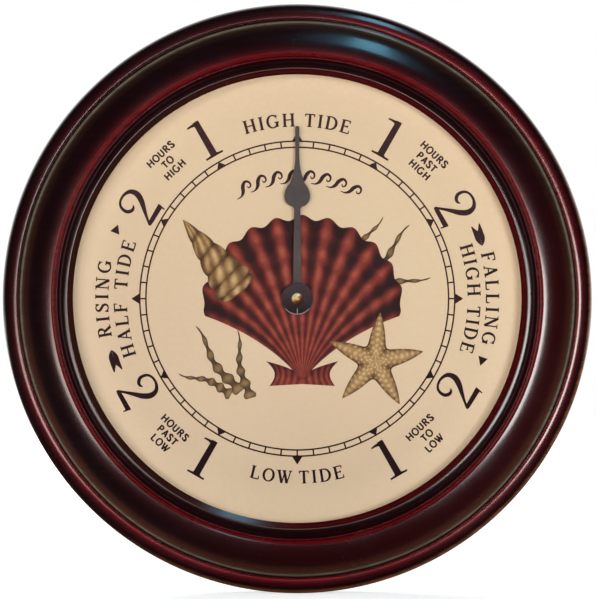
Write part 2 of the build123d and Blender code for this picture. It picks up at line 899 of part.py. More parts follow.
def coil_bobbin():
    """The plastic bobbin with its two flanges, pushed over the core."""
    spool = along_coil(bobbin_tube_radius(), bobbin_length)
    for side in (-1, 1):
        place = side * (bobbin_length - bobbin_flange_thickness) / 2
        spool += Pos(place, 0, 0) * along_coil(bobbin_flange_radius, bobbin_flange_thickness)
    half = core_width / 2 + fit_gap
    return spool - slab(
        core_left - overrun, core_right + overrun, core_height - half, core_height + half,
        stator_front - fit_gap, core_front + fit_gap)


def coil_winding():
    """The wire wound on the bobbin, as one round body between its flanges."""
    length = bobbin_length - 2 * bobbin_flange_thickness
    return along_coil(winding_radius, length, bobbin_tube_radius())


def core_screws():
    """The two screws through stator and core into the case."""
    return Compound([
        pan_screw(place, stator_back, motor_screw_head_radius, motor_screw_head_height,
                  motor_screw_radius, case_inner_front - stator_back - screw_hole_gap)
        for place in core_screw_places])


# Electronics and cell


def circuit_board():
    """The circuit board on its pegs beside the train."""
    return slab(circuit_left, circuit_right, circuit_low, circuit_high, circuit_back, circuit_front)


def chip_blob():
    """The drop of resin over the chip."""
    place = circuit_low + (circuit_high - circuit_low) * chip_place_share
    drop = drum(chip_radius, circuit_back - chip_height, circuit_back, (circuit_middle, place))
    return chamfer(drop.edges().group_by(Axis.Z)[0], chip_height / 2)


def quartz_crystal():
    """The crystal's can, lying on the board."""
    place = circuit_low + (circuit_high - circuit_low) * crystal_place_share
    can = Rot(90, 0, 0) * Cylinder(crystal_radius, crystal_length)
    return Pos(circuit_middle, place, circuit_back - crystal_radius) * can


def contact(side):
    """A sprung contact at one end of the bay: 1 is the plus end on the right, -1 the minus end."""
    wall = side * case_inner_half
    face = side * (case_inner_half - contact_thickness)
    left, right = sorted((wall, face))
    plate = slab(
        left, right, cell_place - contact_width / 2, partition_top + contact_strip_width,
        cell_depth - contact_width / 2, circuit_back)
    dimple = Rot(0, -side * 90, 0) * Cone(
        contact_dimple_radius, contact_dimple_radius / 2, contact_dimple_height)
    return plate + Pos(face - side * contact_dimple_height / 2, cell_place, cell_depth) * dimple


def battery_contact_plus():
    """The plus contact, with its strip up beside the circuit board."""
    return contact(1)


def battery_contact_minus():
    """The minus contact, with a strip along the partition to the circuit board."""
    strip = slab(
        -case_inner_half, circuit_left + contact_strip_width,
        partition_top, partition_top + contact_thickness,
        circuit_back - contact_strip_width, circuit_back)
    return contact(-1) + strip


def battery_cell():
    """The AA cell, its plus nub to the right."""
    body = Cylinder(cell_radius, cell_body_length)
    body = chamfer(body.edges().filter_by(GeomType.CIRCLE), cell_edge)
    nub = Pos(0, 0, (cell_body_length + cell_nub_length) / 2) * Cylinder(cell_nub_radius, cell_nub_length)
    cell = Pos(0, 0, -cell_nub_length / 2) * (body + nub)
    return Pos(0, cell_place, cell_depth) * Rot(0, 90, 0) * cell


def setting_knob():
    """The knob that sets the hand, with its shaft and gear."""
    knob = drum(knob_radius, knob_back, knob_front, knob_place)
    step = 360 / knob_flutes
    for flute in range(knob_flutes):
        place = from_place(knob_place, knob_radius, flute * step)
        knob -= drum(knob_flute_radius, knob_back - overrun, knob_front + overrun, place)
    low = layer_low(2)
    knob += drum(knob_shaft_radius, knob_front, low, knob_place)
    return knob + gear(knob_teeth, fine_module, knob_phase, low, low + wheel_thickness, knob_place)


# Hand


def hand_side(side):
    """One side of the hand's outline, from its hub to its tip."""
    foot = (side * stem_hub_half, hub_disc_radius / 2)
    stem = (side * stem_top_half, stem_top)
    neck = (side * spade_neck_half, spade_neck)
    widest = (side * spade_half, spade_widest)
    shoulder = (side * spade_shoulder_half, spade_shoulder)
    taper = (side * taper_half, taper_start)
    tip = (side * tip_half, hand_length - tip_half)
    neck_rise = (spade_neck_half - stem_top_half) / 4
    widest_rise = (spade_half - spade_neck_half) / 4
    shoulder_rise = (spade_half - spade_shoulder_half) / 4
    taper_rise = (spade_shoulder_half - taper_half) / 4
    return [
        Line(foot, stem),
        bulge(stem, neck, side * neck_rise),
        bulge(neck, widest, -side * widest_rise),
        bulge(widest, shoulder, -side * shoulder_rise),
        bulge(shoulder, taper, side * taper_rise),
        Line(taper, tip),
    ]


def hand_shape():
    """The hand's flat outline: spade and point on a stem."""
    foot = Line((-stem_hub_half, hub_disc_radius / 2), (stem_hub_half, hub_disc_radius / 2))
    point = bulge((-tip_half, hand_length - tip_half), (tip_half, hand_length - tip_half), tip_half)
    return make_face(Curve(hand_side(-1) + hand_side(1) + [foot, point]))


def tide_hand():
    """The hand with its domed hub, which is slit below so that it can grip."""
    blade = extrude(Pos(0, 0, hand_back) * (hand_shape() + Circle(hub_disc_radius)), hand_thickness)
    corners = blade.edges().filter_by(Axis.Z).filter_by(
        lambda edge: abs(abs(edge.center().X) - stem_hub_half) < stem_fillet
        and 0 < edge.center().Y < hub_disc_radius + stem_fillet)
    blade = fillet(corners, stem_fillet)
    hub = turned([
        Line((0, hand_front), (hub_disc_radius - hub_rim, hand_front)),
        dome(hub_disc_radius - hub_rim, hand_front, hand_front + hub_dome_rise),
        Line((0, hand_front + hub_dome_rise), (0, hand_front)),
    ])
    slit = slab(
        -hub_slit_width / 2, hub_slit_width / 2, -hub_disc_radius - overrun, -button_radius,
        hand_front - hub_slit_depth, hand_front + hub_dome_rise + overrun)
    bore = drum(collet_neck_radius + fit_gap, hand_back - overrun, hand_front + overrun)
    return blade + hub - slit - bore


def hand_collet():
    """The brass bush between the hand and the tide tube."""
    low = hand_back - collet_flange_height
    bush = drum(collet_flange_radius, low, hand_back)
    bush += drum(collet_neck_radius, hand_back, hand_front)
    return bush - drum(tide_tube_radius + fit_gap, low - overrun, hand_front + overrun)


def centre_button():
    """The domed brass cap, with the stem that holds it in the tube."""
    ledge = hand_front + hub_dome_rise
    cap = turned([
        Line((0, hand_front), (collet_neck_radius, hand_front)),
        Line((collet_neck_radius, hand_front), (collet_neck_radius, ledge)),
        Line((collet_neck_radius, ledge), (button_radius, ledge)),
        Line((button_radius, ledge), (button_radius, button_rim_front)),
        dome(button_radius, button_rim_front, button_front),
        Line((0, button_front), (0, hand_front)),
    ])
    return cap + drum(button_stem_radius, hand_front - button_stem_length, hand_front)


pieces = {
    "frame_ring": frame_ring,
    "glass_crystal": glass_crystal,
    "spacer_ring": spacer_ring,
    "dial_plate": dial_plate,
    "backing_board": backing_board,
    "board_screws": board_screws,
    "hanger_plate": hanger_plate,
    "hanger_screws": hanger_screws,
    "movement_front_case": movement_front_case,
    "movement_back_case": movement_back_case,
    "centre_post": centre_post,
    "rubber_washer": rubber_washer,
    "brass_washer": brass_washer,
    "mounting_nut": mounting_nut,
    "train_bridge": train_bridge,
    "bridge_screws": bridge_screws,
    "stator_plate": stator_plate,
    "coil_core": coil_core,
    "coil_bobbin": coil_bobbin,
    "coil_winding": coil_winding,
    "core_screws": core_screws,
    "circuit_board": circuit_board,
    "chip_blob": chip_blob,
    "quartz_crystal": quartz_crystal,
    "battery_contact_plus": battery_contact_plus,
    "battery_contact_minus": battery_contact_minus,
    "battery_cell": battery_cell,
    "setting_knob": setting_knob,
    "motion_wheel": motion_wheel,
    "centre_arbor": centre_arbor,
    "clutch_spring": clutch_spring,
    "centre_drive_wheel": centre_drive_wheel,
    "third_wheel": third_wheel,
    "fourth_wheel": fourth_wheel,
    "fifth_wheel": fifth_wheel,
    "rotor": rotor,
    "tide_wheel": tide_wheel,
    "tide_hand": tide_hand,
    "hand_collet": hand_collet,
    "centre_button": centre_button,
}

os.makedirs("parts", exist_ok=True)
for name, make in pieces.items():
    export_step(Rot(90, 0, 0) * make(), f"parts/{name}.step")
    print("wrote", name)
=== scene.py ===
import math

import bpy
import numpy as np
from mathutils import Matrix, Vector


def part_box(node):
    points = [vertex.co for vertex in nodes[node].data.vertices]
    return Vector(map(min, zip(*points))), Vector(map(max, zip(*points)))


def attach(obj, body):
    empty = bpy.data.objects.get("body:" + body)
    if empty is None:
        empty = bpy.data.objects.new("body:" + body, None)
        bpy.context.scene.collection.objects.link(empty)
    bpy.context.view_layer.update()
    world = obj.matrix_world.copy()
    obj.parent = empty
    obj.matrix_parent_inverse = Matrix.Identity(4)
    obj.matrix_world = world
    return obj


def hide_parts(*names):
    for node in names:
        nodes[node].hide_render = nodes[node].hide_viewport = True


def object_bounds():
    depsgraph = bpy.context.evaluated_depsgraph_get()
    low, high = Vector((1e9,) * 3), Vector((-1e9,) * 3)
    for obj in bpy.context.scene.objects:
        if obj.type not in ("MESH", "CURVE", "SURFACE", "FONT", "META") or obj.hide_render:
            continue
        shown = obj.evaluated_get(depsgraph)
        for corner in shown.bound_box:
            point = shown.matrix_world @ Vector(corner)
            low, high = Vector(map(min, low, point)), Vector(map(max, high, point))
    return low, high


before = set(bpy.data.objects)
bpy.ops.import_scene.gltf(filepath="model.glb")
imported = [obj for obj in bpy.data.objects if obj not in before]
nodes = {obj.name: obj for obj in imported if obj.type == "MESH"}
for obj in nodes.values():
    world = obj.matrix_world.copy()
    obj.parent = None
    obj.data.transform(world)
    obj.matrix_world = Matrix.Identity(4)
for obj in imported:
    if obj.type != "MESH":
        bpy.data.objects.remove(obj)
cadLow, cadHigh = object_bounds()
mm = 0.001
print("frame loaded, CAD nodes:", len(nodes))


# shader tools

def shade(red, green, blue):
    # a screen colour, 0 to 255, as the linear colour that a socket takes
    parts = np.array([red, green, blue]) / 255
    linear = np.where(parts > 0.04045, ((parts + 0.055) / 1.055) ** 2.4, parts / 12.92)
    return (*linear.tolist(), 1.0)


def mathPair(operation):
    # two methods that add a Math node for a wire and another value: as written, and reflected
    def direct(self, other):
        return self.math(operation, self, other)

    def reflected(self, other):
        return self.math(operation, other, self)

    return direct, reflected


class Wire:
    # one output socket, which takes part in sums, products and comparisons
    __add__, __radd__ = mathPair("ADD")
    __sub__, __rsub__ = mathPair("SUBTRACT")
    __mul__, __rmul__ = mathPair("MULTIPLY")
    __truediv__, __rtruediv__ = mathPair("DIVIDE")
    __pow__, __rpow__ = mathPair("POWER")
    __gt__, __lt__ = mathPair("GREATER_THAN")

    def __init__(self, paint, socket):
        self.paint = paint
        self.socket = socket

    def also(self, name):
        # another output of the same node
        return Wire(self.paint, self.socket.node.outputs[name])

    def math(self, operation, first, second):
        return self.paint.add("ShaderNodeMath", {"operation": operation}, {0: first, 1: second})


def setStops(ramp, stops):
    # a new ramp has two stops, and the rest are added
    while len(ramp.elements) < len(stops):
        ramp.elements.new(0.5)
    for element, (position, colour) in zip(ramp.elements, sorted(stops, key=lambda stop: stop[0])):
        element.position = position
        element.color = colour


class Paint:
    # a material's node tree, or the world's, and the ways to add to it
    def __init__(self, name, tree=None):
        if tree is None:
            self.material = bpy.data.materials.new(name)
            self.material.use_nodes = True
            tree = self.material.node_tree
        self.tree = tree
        tree.nodes.clear()

    def add(self, kind, settings=None, inputs=None, take=0):
        # makes a node, sets it, fills its sockets with values or links, and gives back one output
        node = self.tree.nodes.new(kind)
        for name, value in (settings or {}).items():
            if name == "stops":
                setStops(node.color_ramp, value)
            else:
                setattr(node, name, value)
        for name, value in (inputs or {}).items():
            if isinstance(value, Wire):
                self.tree.links.new(value.socket, node.inputs[name])
            else:
                node.inputs[name].default_value = value
        return Wire(self, node.outputs[take]) if len(node.outputs) else None

    def place(self):
        return self.add("ShaderNodeTexCoord", take="Object")

    def axes(self, vector):
        wire = self.add("ShaderNodeSeparateXYZ", inputs={0: vector}, take="X")
        return wire, wire.also("Y"), wire.also("Z")

    def placeAndAxes(self):
        place = self.place()
        return place, *self.axes(place)

    def stretched(self, vector, scale):
        return self.add("ShaderNodeMapping", inputs={"Vector": vector, "Scale": scale})

    def noise(self, vector, scale, detail=4.0, rough=0.55):
        return self.add("ShaderNodeTexNoise", inputs={
            "Vector": vector, "Scale": scale, "Detail": detail, "Roughness": rough}, take="Fac")

    def ramp(self, factor, stops, interpolation="LINEAR"):
        # the stops are given as places with screen colours
        node = self.add("ShaderNodeValToRGB", {
            "stops": [(place, shade(*colour)) for place, colour in stops]}, {0: factor})
        node.socket.node.color_ramp.interpolation = interpolation
        return node

    def spread(self, value, low, high, newLow=0.0, newHigh=1.0):
        return self.add("ShaderNodeMapRange", {"interpolation_type": "SMOOTHSTEP"}, {
            "Value": value, "From Min": low, "From Max": high, "To Min": newLow, "To Max": newHigh})

    def varied(self, noise, low, high):
        # a number that a noise carries softly from low to high
        return self.spread(noise, 0.3, 0.7, low, high)

    def blend(self, factor, first, second, mode="MIX"):
        return self.add("ShaderNodeMix", {"data_type": "RGBA", "blend_type": mode}, {
            0: factor, 6: first, 7: second}, take=2)

    def dimmed(self, colour, share):
        # the colour times one number, which goes to all three channels
        grey = self.add("ShaderNodeCombineXYZ", inputs={0: share, 1: share, 2: share})
        return self.blend(1.0, colour, grey, "MULTIPLY")

    def bump(self, height, distance, strength=1.0):
        return self.add("ShaderNodeBump", inputs={
            "Height": height, "Distance": distance, "Strength": strength})

    def finish(self, inputs):
        surface = self.add("ShaderNodeBsdfPrincipled", inputs=inputs)
        self.add("ShaderNodeOutputMaterial", inputs={"Surface": surface})
        return self.material


def fromAxis(x, z):
    # distance from the clock's axis in millimetres
    return (x * x + z * z) ** 0.5 / mm


# mesh tools

def gridQuads(rows, columns, closeRows=False, closeColumns=False):
    # corner numbers of the quads between neighbouring rows and columns of a grid of points
    row, column = np.meshgrid(
        np.arange(rows if closeRows else rows - 1),
        np.arange(columns if closeColumns else columns - 1), indexing="ij")
    nextRow, nextColumn = (row + 1) % rows, (column + 1) % columns
    corners = [row * columns + column, nextRow * columns + column,
               nextRow * columns + nextColumn, row * columns + nextColumn]
    return np.stack(corners, -1).reshape(-1, 4)


def outward(points, quads):
    # twice-summed corner products give the signed volume, and a negative one means inside out
    corner = points[quads]
    volume = np.einsum("ij,ij->i", corner[:, 0], np.cross(corner[:, 1], corner[:, 2]))
    volume += np.einsum("ij,ij->i", corner[:, 0], np.cross(corner[:, 2], corner[:, 3]))
    return quads if volume.sum() > 0 else quads[:, ::-1]


def addObject(name, data):
    holder = bpy.data.objects.new(name, data)
    bpy.context.scene.collection.objects.link(holder)
    return holder


def addMesh(name, points, quads, *materials):
    mesh = bpy.data.meshes.new(name)
    mesh.from_pydata(points.tolist(), [], quads.tolist())
    for material in materials:
        mesh.materials.append(material)
    return addObject(name, mesh)


def makePiece(name, parts, material, body, smooth=False, tones=None):
    # parts is a list of closed shells, each an array of points in metres and its quads
    starts = np.cumsum([0] + [len(points) for points, _ in parts])
    points = np.concatenate([points for points, _ in parts])
    quads = np.concatenate([outward(points, quads) + start for (points, quads), start in zip(parts, starts)])
    piece = addMesh(name, points, quads, material)
    piece.data.polygons.foreach_set("use_smooth", np.full(len(quads), smooth))
    if tones is not None:
        layer = piece.data.attributes.new("tone", "FLOAT", "POINT")
        layer.data.foreach_set("value", np.concatenate(tones).astype(np.float32))
    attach(piece, body)
    return piece


def dress(material, *names):
    # a CAD node keeps its mesh and gets this finish
    for name in names:
        nodes[name].data.materials.clear()
        nodes[name].data.materials.append(material)


# frame: lacquered moulding

moulding = {
    # runs of its front from the lip outward: width, climb, and how far the middle stands off the chord
    "front": [
        (3.6, 2.0, 0),  # lip
        (6.0, -2.0, 0.5),  # inner bead
        (0.4, -0.4, 0), (0.6, 0.8, 0),  # valley
        (1.8, 6.6, 0.4), (19.0, -10.4, 2.3),  # shoulder and band
        (1.4, -0.4, 0), (1.0, -1.6, 0),  # arris and step
        (0.8, 1.0, 0.1)],  # foot of the outer bead
    "outerRadius": 177.8, "outerBeadRound": 8.6, "backChamfer": 2.0, "glassFront": 32.4, "lipWall": 1.0,
    "glassCover": 6.4, "boardLedge": 10.0, "boardFront": 21.0,
    "pointGap": 0.45, "cornerCut": 0.16, "crestCut": 0.55, "segments": 360,
}


def bulged(start, end, rise, gap):
    # points of an arc from start to end whose middle stands off the chord by rise, to the left if positive
    start, end = np.array(start), np.array(end)
    chord = np.linalg.norm(end - start)
    along = (end - start) / chord
    side = np.array([-along[1], along[0]])
    count = max(2, int(round(chord / gap)) + 1)
    if abs(rise) < 1e-6:
        share = np.linspace(0, 1, count)[:, None]
        return start + (end - start) * share
    radius = (chord * chord / 4 + rise * rise) / (2 * abs(rise))
    half = math.asin(chord / (2 * radius))
    turn = np.linspace(-half, half, count)[:, None]
    lift = (np.cos(turn) * radius - math.cos(half) * radius) * np.sign(rise)
    return (start + end) / 2 + along * np.sin(turn) * radius + side * lift


def mouldingSection(m):
    # the closed section as radius and depth: arcs and straight lines end to end, corners cut by a hair
    widths, climbs, bulges = zip(*m["front"])
    outerR, beadRound, chamfer = m["outerRadius"], m["outerBeadRound"], m["backChamfer"]
    radii = np.subtract.accumulate([outerR - beadRound, *widths[::-1]])[::-1]
    depths = np.add.accumulate([m["glassFront"] + m["lipWall"], *climbs])
    lipR = radii[0]
    glassR = lipR + m["glassCover"]
    boardR = glassR + m["boardLedge"]
    front = zip(radii, depths, [*bulges, beadRound * (1 - math.sqrt(0.5))])
    corners = [((radius, depth), bulge) for radius, depth, bulge in front] + [(corner, 0) for corner in [
        (outerR, depths[-1] - beadRound), (outerR, chamfer), (outerR - chamfer, 0),
        (boardR, 0), (boardR, m["boardFront"]), (glassR, m["boardFront"]),
        (glassR, m["glassFront"]), (lipR, m["glassFront"])]]
    crest = max((corner for corner, _ in corners), key=lambda corner: corner[1])
    section = []
    for (start, bulge), (end, _) in zip(corners, corners[1:] + corners[:1]):
        run = bulged(start, end, bulge, m["pointGap"])
        first, last = run[1] - run[0], run[-1] - run[-2]
        run[0] += first * m["crestCut" if start == crest else "cornerCut"] / np.linalg.norm(first)
        run[-1] -= last * m["crestCut" if end == crest else "cornerCut"] / np.linalg.norm(last)
        section.append(run)
    return np.concatenate(section), {"lip": lipR, "outer": outerR}


def turnedShell(section, segments):
    # each point of the section goes round the clock's axis: x = r cos a, z = r sin a, y = -depth
    turn = np.linspace(0, 2 * math.pi, segments, endpoint=False)
    radius, depth = section[:, 0:1] * mm, section[:, 1:2] * mm
    points = np.stack([
        radius * np.cos(turn), -depth * np.ones_like(turn), radius * np.sin(turn)], -1)
    return points.reshape(-1, 3), gridQuads(len(section), segments, True, True)


lacquer = {
    # the colour at each radius of the moulding's front; the stop at 138.2 is a painted highlight on the lip's
    # arris, and the last, at 177.6, is painted light along the outer edge
    "rings": [
        (134.7, (50, 7, 9)), (136.6, (66, 9, 11)), (137.8, (44, 8, 10)), (138.2, (98, 66, 60)),
        (138.7, (26, 6, 8)), (141.0, (22, 5, 7)), (143.6, (24, 4, 7)), (144.8, (72, 6, 12)),
        (145.8, (122, 10, 18)), (147.2, (92, 8, 15)), (149.0, (58, 6, 12)), (151.6, (34, 6, 9)),
        (154.6, (22, 5, 8)), (160.0, (22, 7, 9)), (163.8, (36, 20, 16)), (165.2, (62, 52, 42)),
        (165.9, (106, 100, 84)), (166.6, (84, 74, 62)), (167.2, (18, 4, 8)), (168.4, (66, 8, 14)),
        (169.1, (122, 14, 24)), (170.2, (92, 10, 18)), (172.0, (60, 8, 14)), (174.4, (30, 6, 10)),
        (176.4, (32, 9, 12)), (177.6, (92, 48, 30))],
    # patches over it, in order: colour, the run it grows along, the run's ends, the shares there, and the
    # radii over which it comes in or goes out
    "patches": [
        # painted shade: the lip turns a duller, less red brown on its left side
        ((36, 19, 14), "across", (20.0, -90.0), (0.0, 0.8), [(139.0, 137.6)]),
        ((92, 50, 38), "height", (100.0, -150.0), (0.05, 0.6),
         [(157.0, 165.0), (157.0, 165.0), (166.2, 165.4)]),
        ((30, 6, 9), "height", (60.0, -130.0), (0.0, 0.6), [(146.2, 147.8), (153.0, 150.0)]),
        # painted light: a faint red glow on the band, growing towards the lower right
        ((112, 12, 18), "lean", (-40.0, 220.0), (0.0, 0.1), [(148.0, 154.0), (166.0, 160.0)]),
        # painted shade: the red line of the outer step is darkened towards the upper left
        ((24, 7, 10), "lean", (-60.0, -220.0), (0.0, 0.8), [(166.6, 168.2)])],
    # painted light on the rim: paler orange-brown at the lower right, more in some streaks than in others, so
    # that it looks worn to bare wood
    "rimLight": (176, 108, 66), "rimLightLean": (0.0, 190.0), "rimLightRadius": (174.8, 177.6),
    "rimLightStreak": (0.3, 0.65, 0.35, 1.0),
    "side": [(0.2, (22, 7, 7)), (0.8, (44, 12, 12))], "sideDepth": (-21.5, -19.0),
    "back": [(0.25, (92, 58, 40)), (0.5, (140, 96, 66)), (0.8, (166, 120, 84))], "backDepth": (-0.9, -0.2),
    # the lip is smoother than the band and has hardly any clear coat
    "bandRough": (0.2, 0.3), "lipSmooth": (145.6, 143.4, 0.0, 0.08), "coat": (145.6, 148.0, 0.08, 0.7),
    "backRough": 0.45,
}


def lacquerFinish(c, radii):
    # dark stained wood under clear lacquer, with red worn through in the hollows; the colour goes by radius,
    # and some of its rings and patches are painted highlights, painted light and painted shade
    paint = Paint("mahoganyLacquer")
    place, x, y, z = paint.placeAndAxes()
    radius = fromAxis(x, z)
    cloud = paint.noise(place, 22.0, 5.0)
    streak = paint.noise(paint.stretched(place, (26.0, 26.0, 340.0)), 1.0, 6.0, 0.65)
    drift = (cloud - 0.5) * 0.5
    low, wide = radii["lip"], radii["outer"] - radii["lip"]
    front = paint.ramp(
        (radius + drift - low) / wide, [((ring - low) / wide, colour) for ring, colour in c["rings"]], "EASE")
    front = paint.dimmed(front, paint.spread(streak, 0.3, 0.75, 0.8, 1.25))
    runs = {"across": x / mm, "height": z / mm, "lean": (x - z) / mm}
    for colour, run, ends, shares, borders in c["patches"]:
        mask = paint.spread(runs[run], *ends, *shares)
        for border in borders:
            mask = mask * paint.spread(radius, *border)
        front = paint.blend(mask, front, shade(*colour))
    # painted light along the rim at the lower right, broken up by the streaks
    rimLight = paint.spread(runs["lean"], *c["rimLightLean"]) * paint.spread(radius, *c["rimLightRadius"])
    front = paint.blend(rimLight * paint.spread(streak, *c["rimLightStreak"]), front, shade(*c["rimLight"]))
    onBack, onSide = paint.spread(y / mm, *c["backDepth"]), paint.spread(y / mm, *c["sideDepth"])
    colour = paint.blend(onSide, front, paint.ramp(streak, c["side"]))
    colour = paint.blend(onBack, colour, paint.ramp(streak, c["back"]))
    rough = paint.varied(cloud, *c["bandRough"]) - paint.spread(radius, *c["lipSmooth"])
    return paint.finish({
        "Base Color": colour, "Roughness": rough + onBack * c["backRough"], "IOR": 1.5,
        "Coat Weight": (1.0 - onBack) * paint.spread(radius, *c["coat"]),
        "Coat Roughness": 0.13, "Coat IOR": 1.5, "Normal": paint.bump(streak, 0.00006, 0.35)})


section, radii = mouldingSection(moulding)
ring = makePiece("frame_moulding", [turnedShell(section, moulding["segments"])],
                 lacquerFinish(lacquer, radii), "clock", True)
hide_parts("frame_ring")
print("frame moulding:", len(ring.data.vertices), "points")

# recess for the hanger, cut in the back of the moulding

recess = {"mortiseGap": 0.2, "mortiseCorner": 4.2, "plateThickness": 1.4, "pocketDepth": 9.0,
          "mouthRadius": 6.6, "slotRadius": 4.4, "slotLength": 6.0, "overrun": 1.0}


def flatShell(outline, low, high):
    # a prism: an outline of points, as width and height, carried from one depth to another, with fan caps
    count = len(outline)
    rims = [outline.mean(0) + (outline - outline.mean(0)) * share for share in (0.001, 1, 1, 0.001)]
    depths = [low, low, high, high]
    points = np.stack([
        np.column_stack([rim[:, 0], np.full(count, -depth), rim[:, 1]]) for rim, depth in zip(rims, depths)])
    return points.reshape(-1, 3) * mm, gridQuads(4, count, True, True)


def roundedOutline(width, height, corner, place):
    # a rectangle with quarter-circle corners, as points round its edge
    turn = np.linspace(0, math.pi / 2, 9)
    runs = []
    for quadrant, (sx, sy) in enumerate([(1, 1), (-1, 1), (-1, -1), (1, -1)]):
        angle = turn + quadrant * math.pi / 2
        centre = np.array([sx * (width / 2 - corner), sy * (height / 2 - corner)])
        runs.append(centre + corner * np.column_stack([np.cos(angle), np.sin(angle)]))
    return np.concatenate(runs) + place


def keyholeOutline(r, middle):
    # the mouth's arc below and the slot's arc above, joined by straight sides
    reach = math.asin(r["slotRadius"] / r["mouthRadius"])
    low = np.linspace(math.pi / 2 + reach, math.pi * 5 / 2 - reach, 33)
    high = np.linspace(0, math.pi, 17)
    mouth = r["mouthRadius"] * np.column_stack([np.cos(low), np.sin(low)])
    slot = r["slotRadius"] * np.column_stack([np.cos(high), np.sin(high)]) + [0, r["slotLength"]]
    return np.concatenate([mouth, slot]) + [0, middle - r["slotLength"] / 2]


def cutRecess(piece, r):
    # a seat as large as the plate and, behind its keyhole, a deeper pocket for the nail's head
    low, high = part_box("hanger_plate")
    width, height = (high.x - low.x) / mm, (high.z - low.z) / mm
    middle = (high.z + low.z) / 2 / mm
    gap = 2 * r["mortiseGap"]
    shapes = [
        (roundedOutline(width + gap, height + gap, r["mortiseCorner"], [0, middle]), r["plateThickness"]),
        (keyholeOutline(r, middle), r["pocketDepth"])]
    for outline, depth in shapes:
        points, quads = flatShell(outline, -r["overrun"], depth)
        cutter = addMesh("cutter", points, outward(points, quads))
        modifier = piece.modifiers.new("recess", "BOOLEAN")
        modifier.operation = "DIFFERENCE"
        modifier.solver = "EXACT"
        modifier.object = cutter
        with bpy.context.temp_override(object=piece, active_object=piece):
            bpy.ops.object.modifier_apply(modifier=modifier.name)
        bpy.data.objects.remove(cutter)
    piece.data.set_sharp_from_angle(angle=math.radians(28))


cutRecess(ring, recess)
print("hanger recess cut")

# glass, spacer and dial

dialFront = -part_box("dial_plate")[0].y / mm
dial = {
    "clouds": [(0.3, (199, 172, 145)), (0.55, (202, 176, 149)), (0.75, (209, 184, 156))],
    # painted light: lighter towards the upper right, and painted paler near the rim and at the foot, where
    # the lip's shadow falls
    "light": (212, 186, 154), "lightSlope": (0.5, 0.85), "lightRun": (-110.0, 70.0, 0.0, 0.8),
    "pale": (230, 204, 174), "rimRun": (108.0, 134.0, 0.0, 0.4), "footRun": (-80.0, -130.0, 0.0, 0.2)}
glass = {"tint": (0.99, 0.995, 0.99, 1), "bend": 1.45, "mirrorShare": 0.25}


def dialFinish(d):
    # satin printed paper in soft clouds, with a fine fibre in it, and painted light over it
    paint = Paint("dialPrint")
    place, x, y, z = paint.placeAndAxes()
    cloud = paint.noise(place, 9.0, 3.0, 0.5)
    speckle = paint.noise(place, 420.0, 2.0, 0.6)
    base = paint.ramp(cloud, d["clouds"])
    across, up = d["lightSlope"]
    # painted light: lighter towards the upper right
    lit = paint.spread((x * across + z * up) / mm, *d["lightRun"])
    base = paint.blend(lit, base, shade(*d["light"]))
    # painted light: paler round the rim and at the foot, against the lip's shadow
    shadeFill = paint.spread(fromAxis(x, z), *d["rimRun"]) + paint.spread(z / mm, *d["footRun"])
    base = paint.blend(shadeFill, base, shade(*d["pale"]))
    return paint.finish({
        "Base Color": paint.dimmed(base, paint.spread(speckle, 0.35, 0.7, 0.97, 1.02)),
        "Roughness": paint.varied(speckle, 0.5, 0.62), "Normal": paint.bump(speckle, 0.00002, 0.4)})


def glassFinish(g):
    # clear where it is looked through, and a mirror for part of the share that the angle gives
    paint = Paint("crystalGlass")
    smear = paint.noise(paint.place(), 30.0, 3.0)
    clear = paint.add("ShaderNodeBsdfTransparent", inputs={"Color": g["tint"]})
    mirror = paint.add("ShaderNodeBsdfGlossy", inputs={
        "Color": (1, 1, 1, 1), "Roughness": paint.varied(smear, 0.01, 0.04)})
    share = paint.add("ShaderNodeFresnel", inputs={"IOR": g["bend"]})
    surface = paint.add("ShaderNodeMixShader", inputs={0: share * g["mirrorShare"], 1: clear, 2: mirror})
    paint.add("ShaderNodeOutputMaterial", inputs={"Surface": surface})
    return paint.material


def spacerFinish():
    # pale card with a fine fibre
    paint = Paint("spacerCard")
    fibre = paint.noise(paint.place(), 300.0, 3.0)
    return paint.finish({
        "Base Color": paint.ramp(fibre, [(0.3, (196, 176, 146)), (0.7, (216, 198, 170))]),
        "Roughness": paint.varied(fibre, 0.7, 0.85)})


dress(dialFinish(dial), "dial_plate")
dress(glassFinish(glass), "glass_crystal")
dress(spacerFinish(), "spacer_ring")
print("dial, glass and spacer finished")

# printed scale and lettering

# each stroke stands a hair above the one before it, so that faces never coincide where strokes cross
inkShape = {"low": -0.03, "high": 0.04, "lift": 0.006}
inkTones = {"dense": [(26, 6, 12), (54, 31, 34)], "thin": [(38, 14, 20), (66, 42, 44)]}


def inkFinish(c):
    # dense printing ink, a little thin in places and lighter towards the top
    paint = Paint("printInk")
    place, x, y, z = paint.placeAndAxes()
    grain = paint.noise(place, 260.0, 3.0)
    towardsTop = paint.spread(z / mm, -120.0, 120.0)
    dense, thin = (
        paint.blend(towardsTop, shade(*below), shade(*above)) for below, above in (c["dense"], c["thin"]))
    return paint.finish({
        "Base Color": paint.blend(paint.spread(grain, 0.35, 0.8), dense, thin),
        "Roughness": paint.varied(grain, 0.5, 0.65), "Specular IOR Level": 0.08})


ink = inkFinish(inkTones)


def onDial(points, height):
    # flat points, as width and height in millimetres, laid on the dial's face
    depth = dialFront + np.broadcast_to(height, points.shape[:-1])
    return np.stack([points[..., 0], -depth, points[..., 1]], -1) * mm


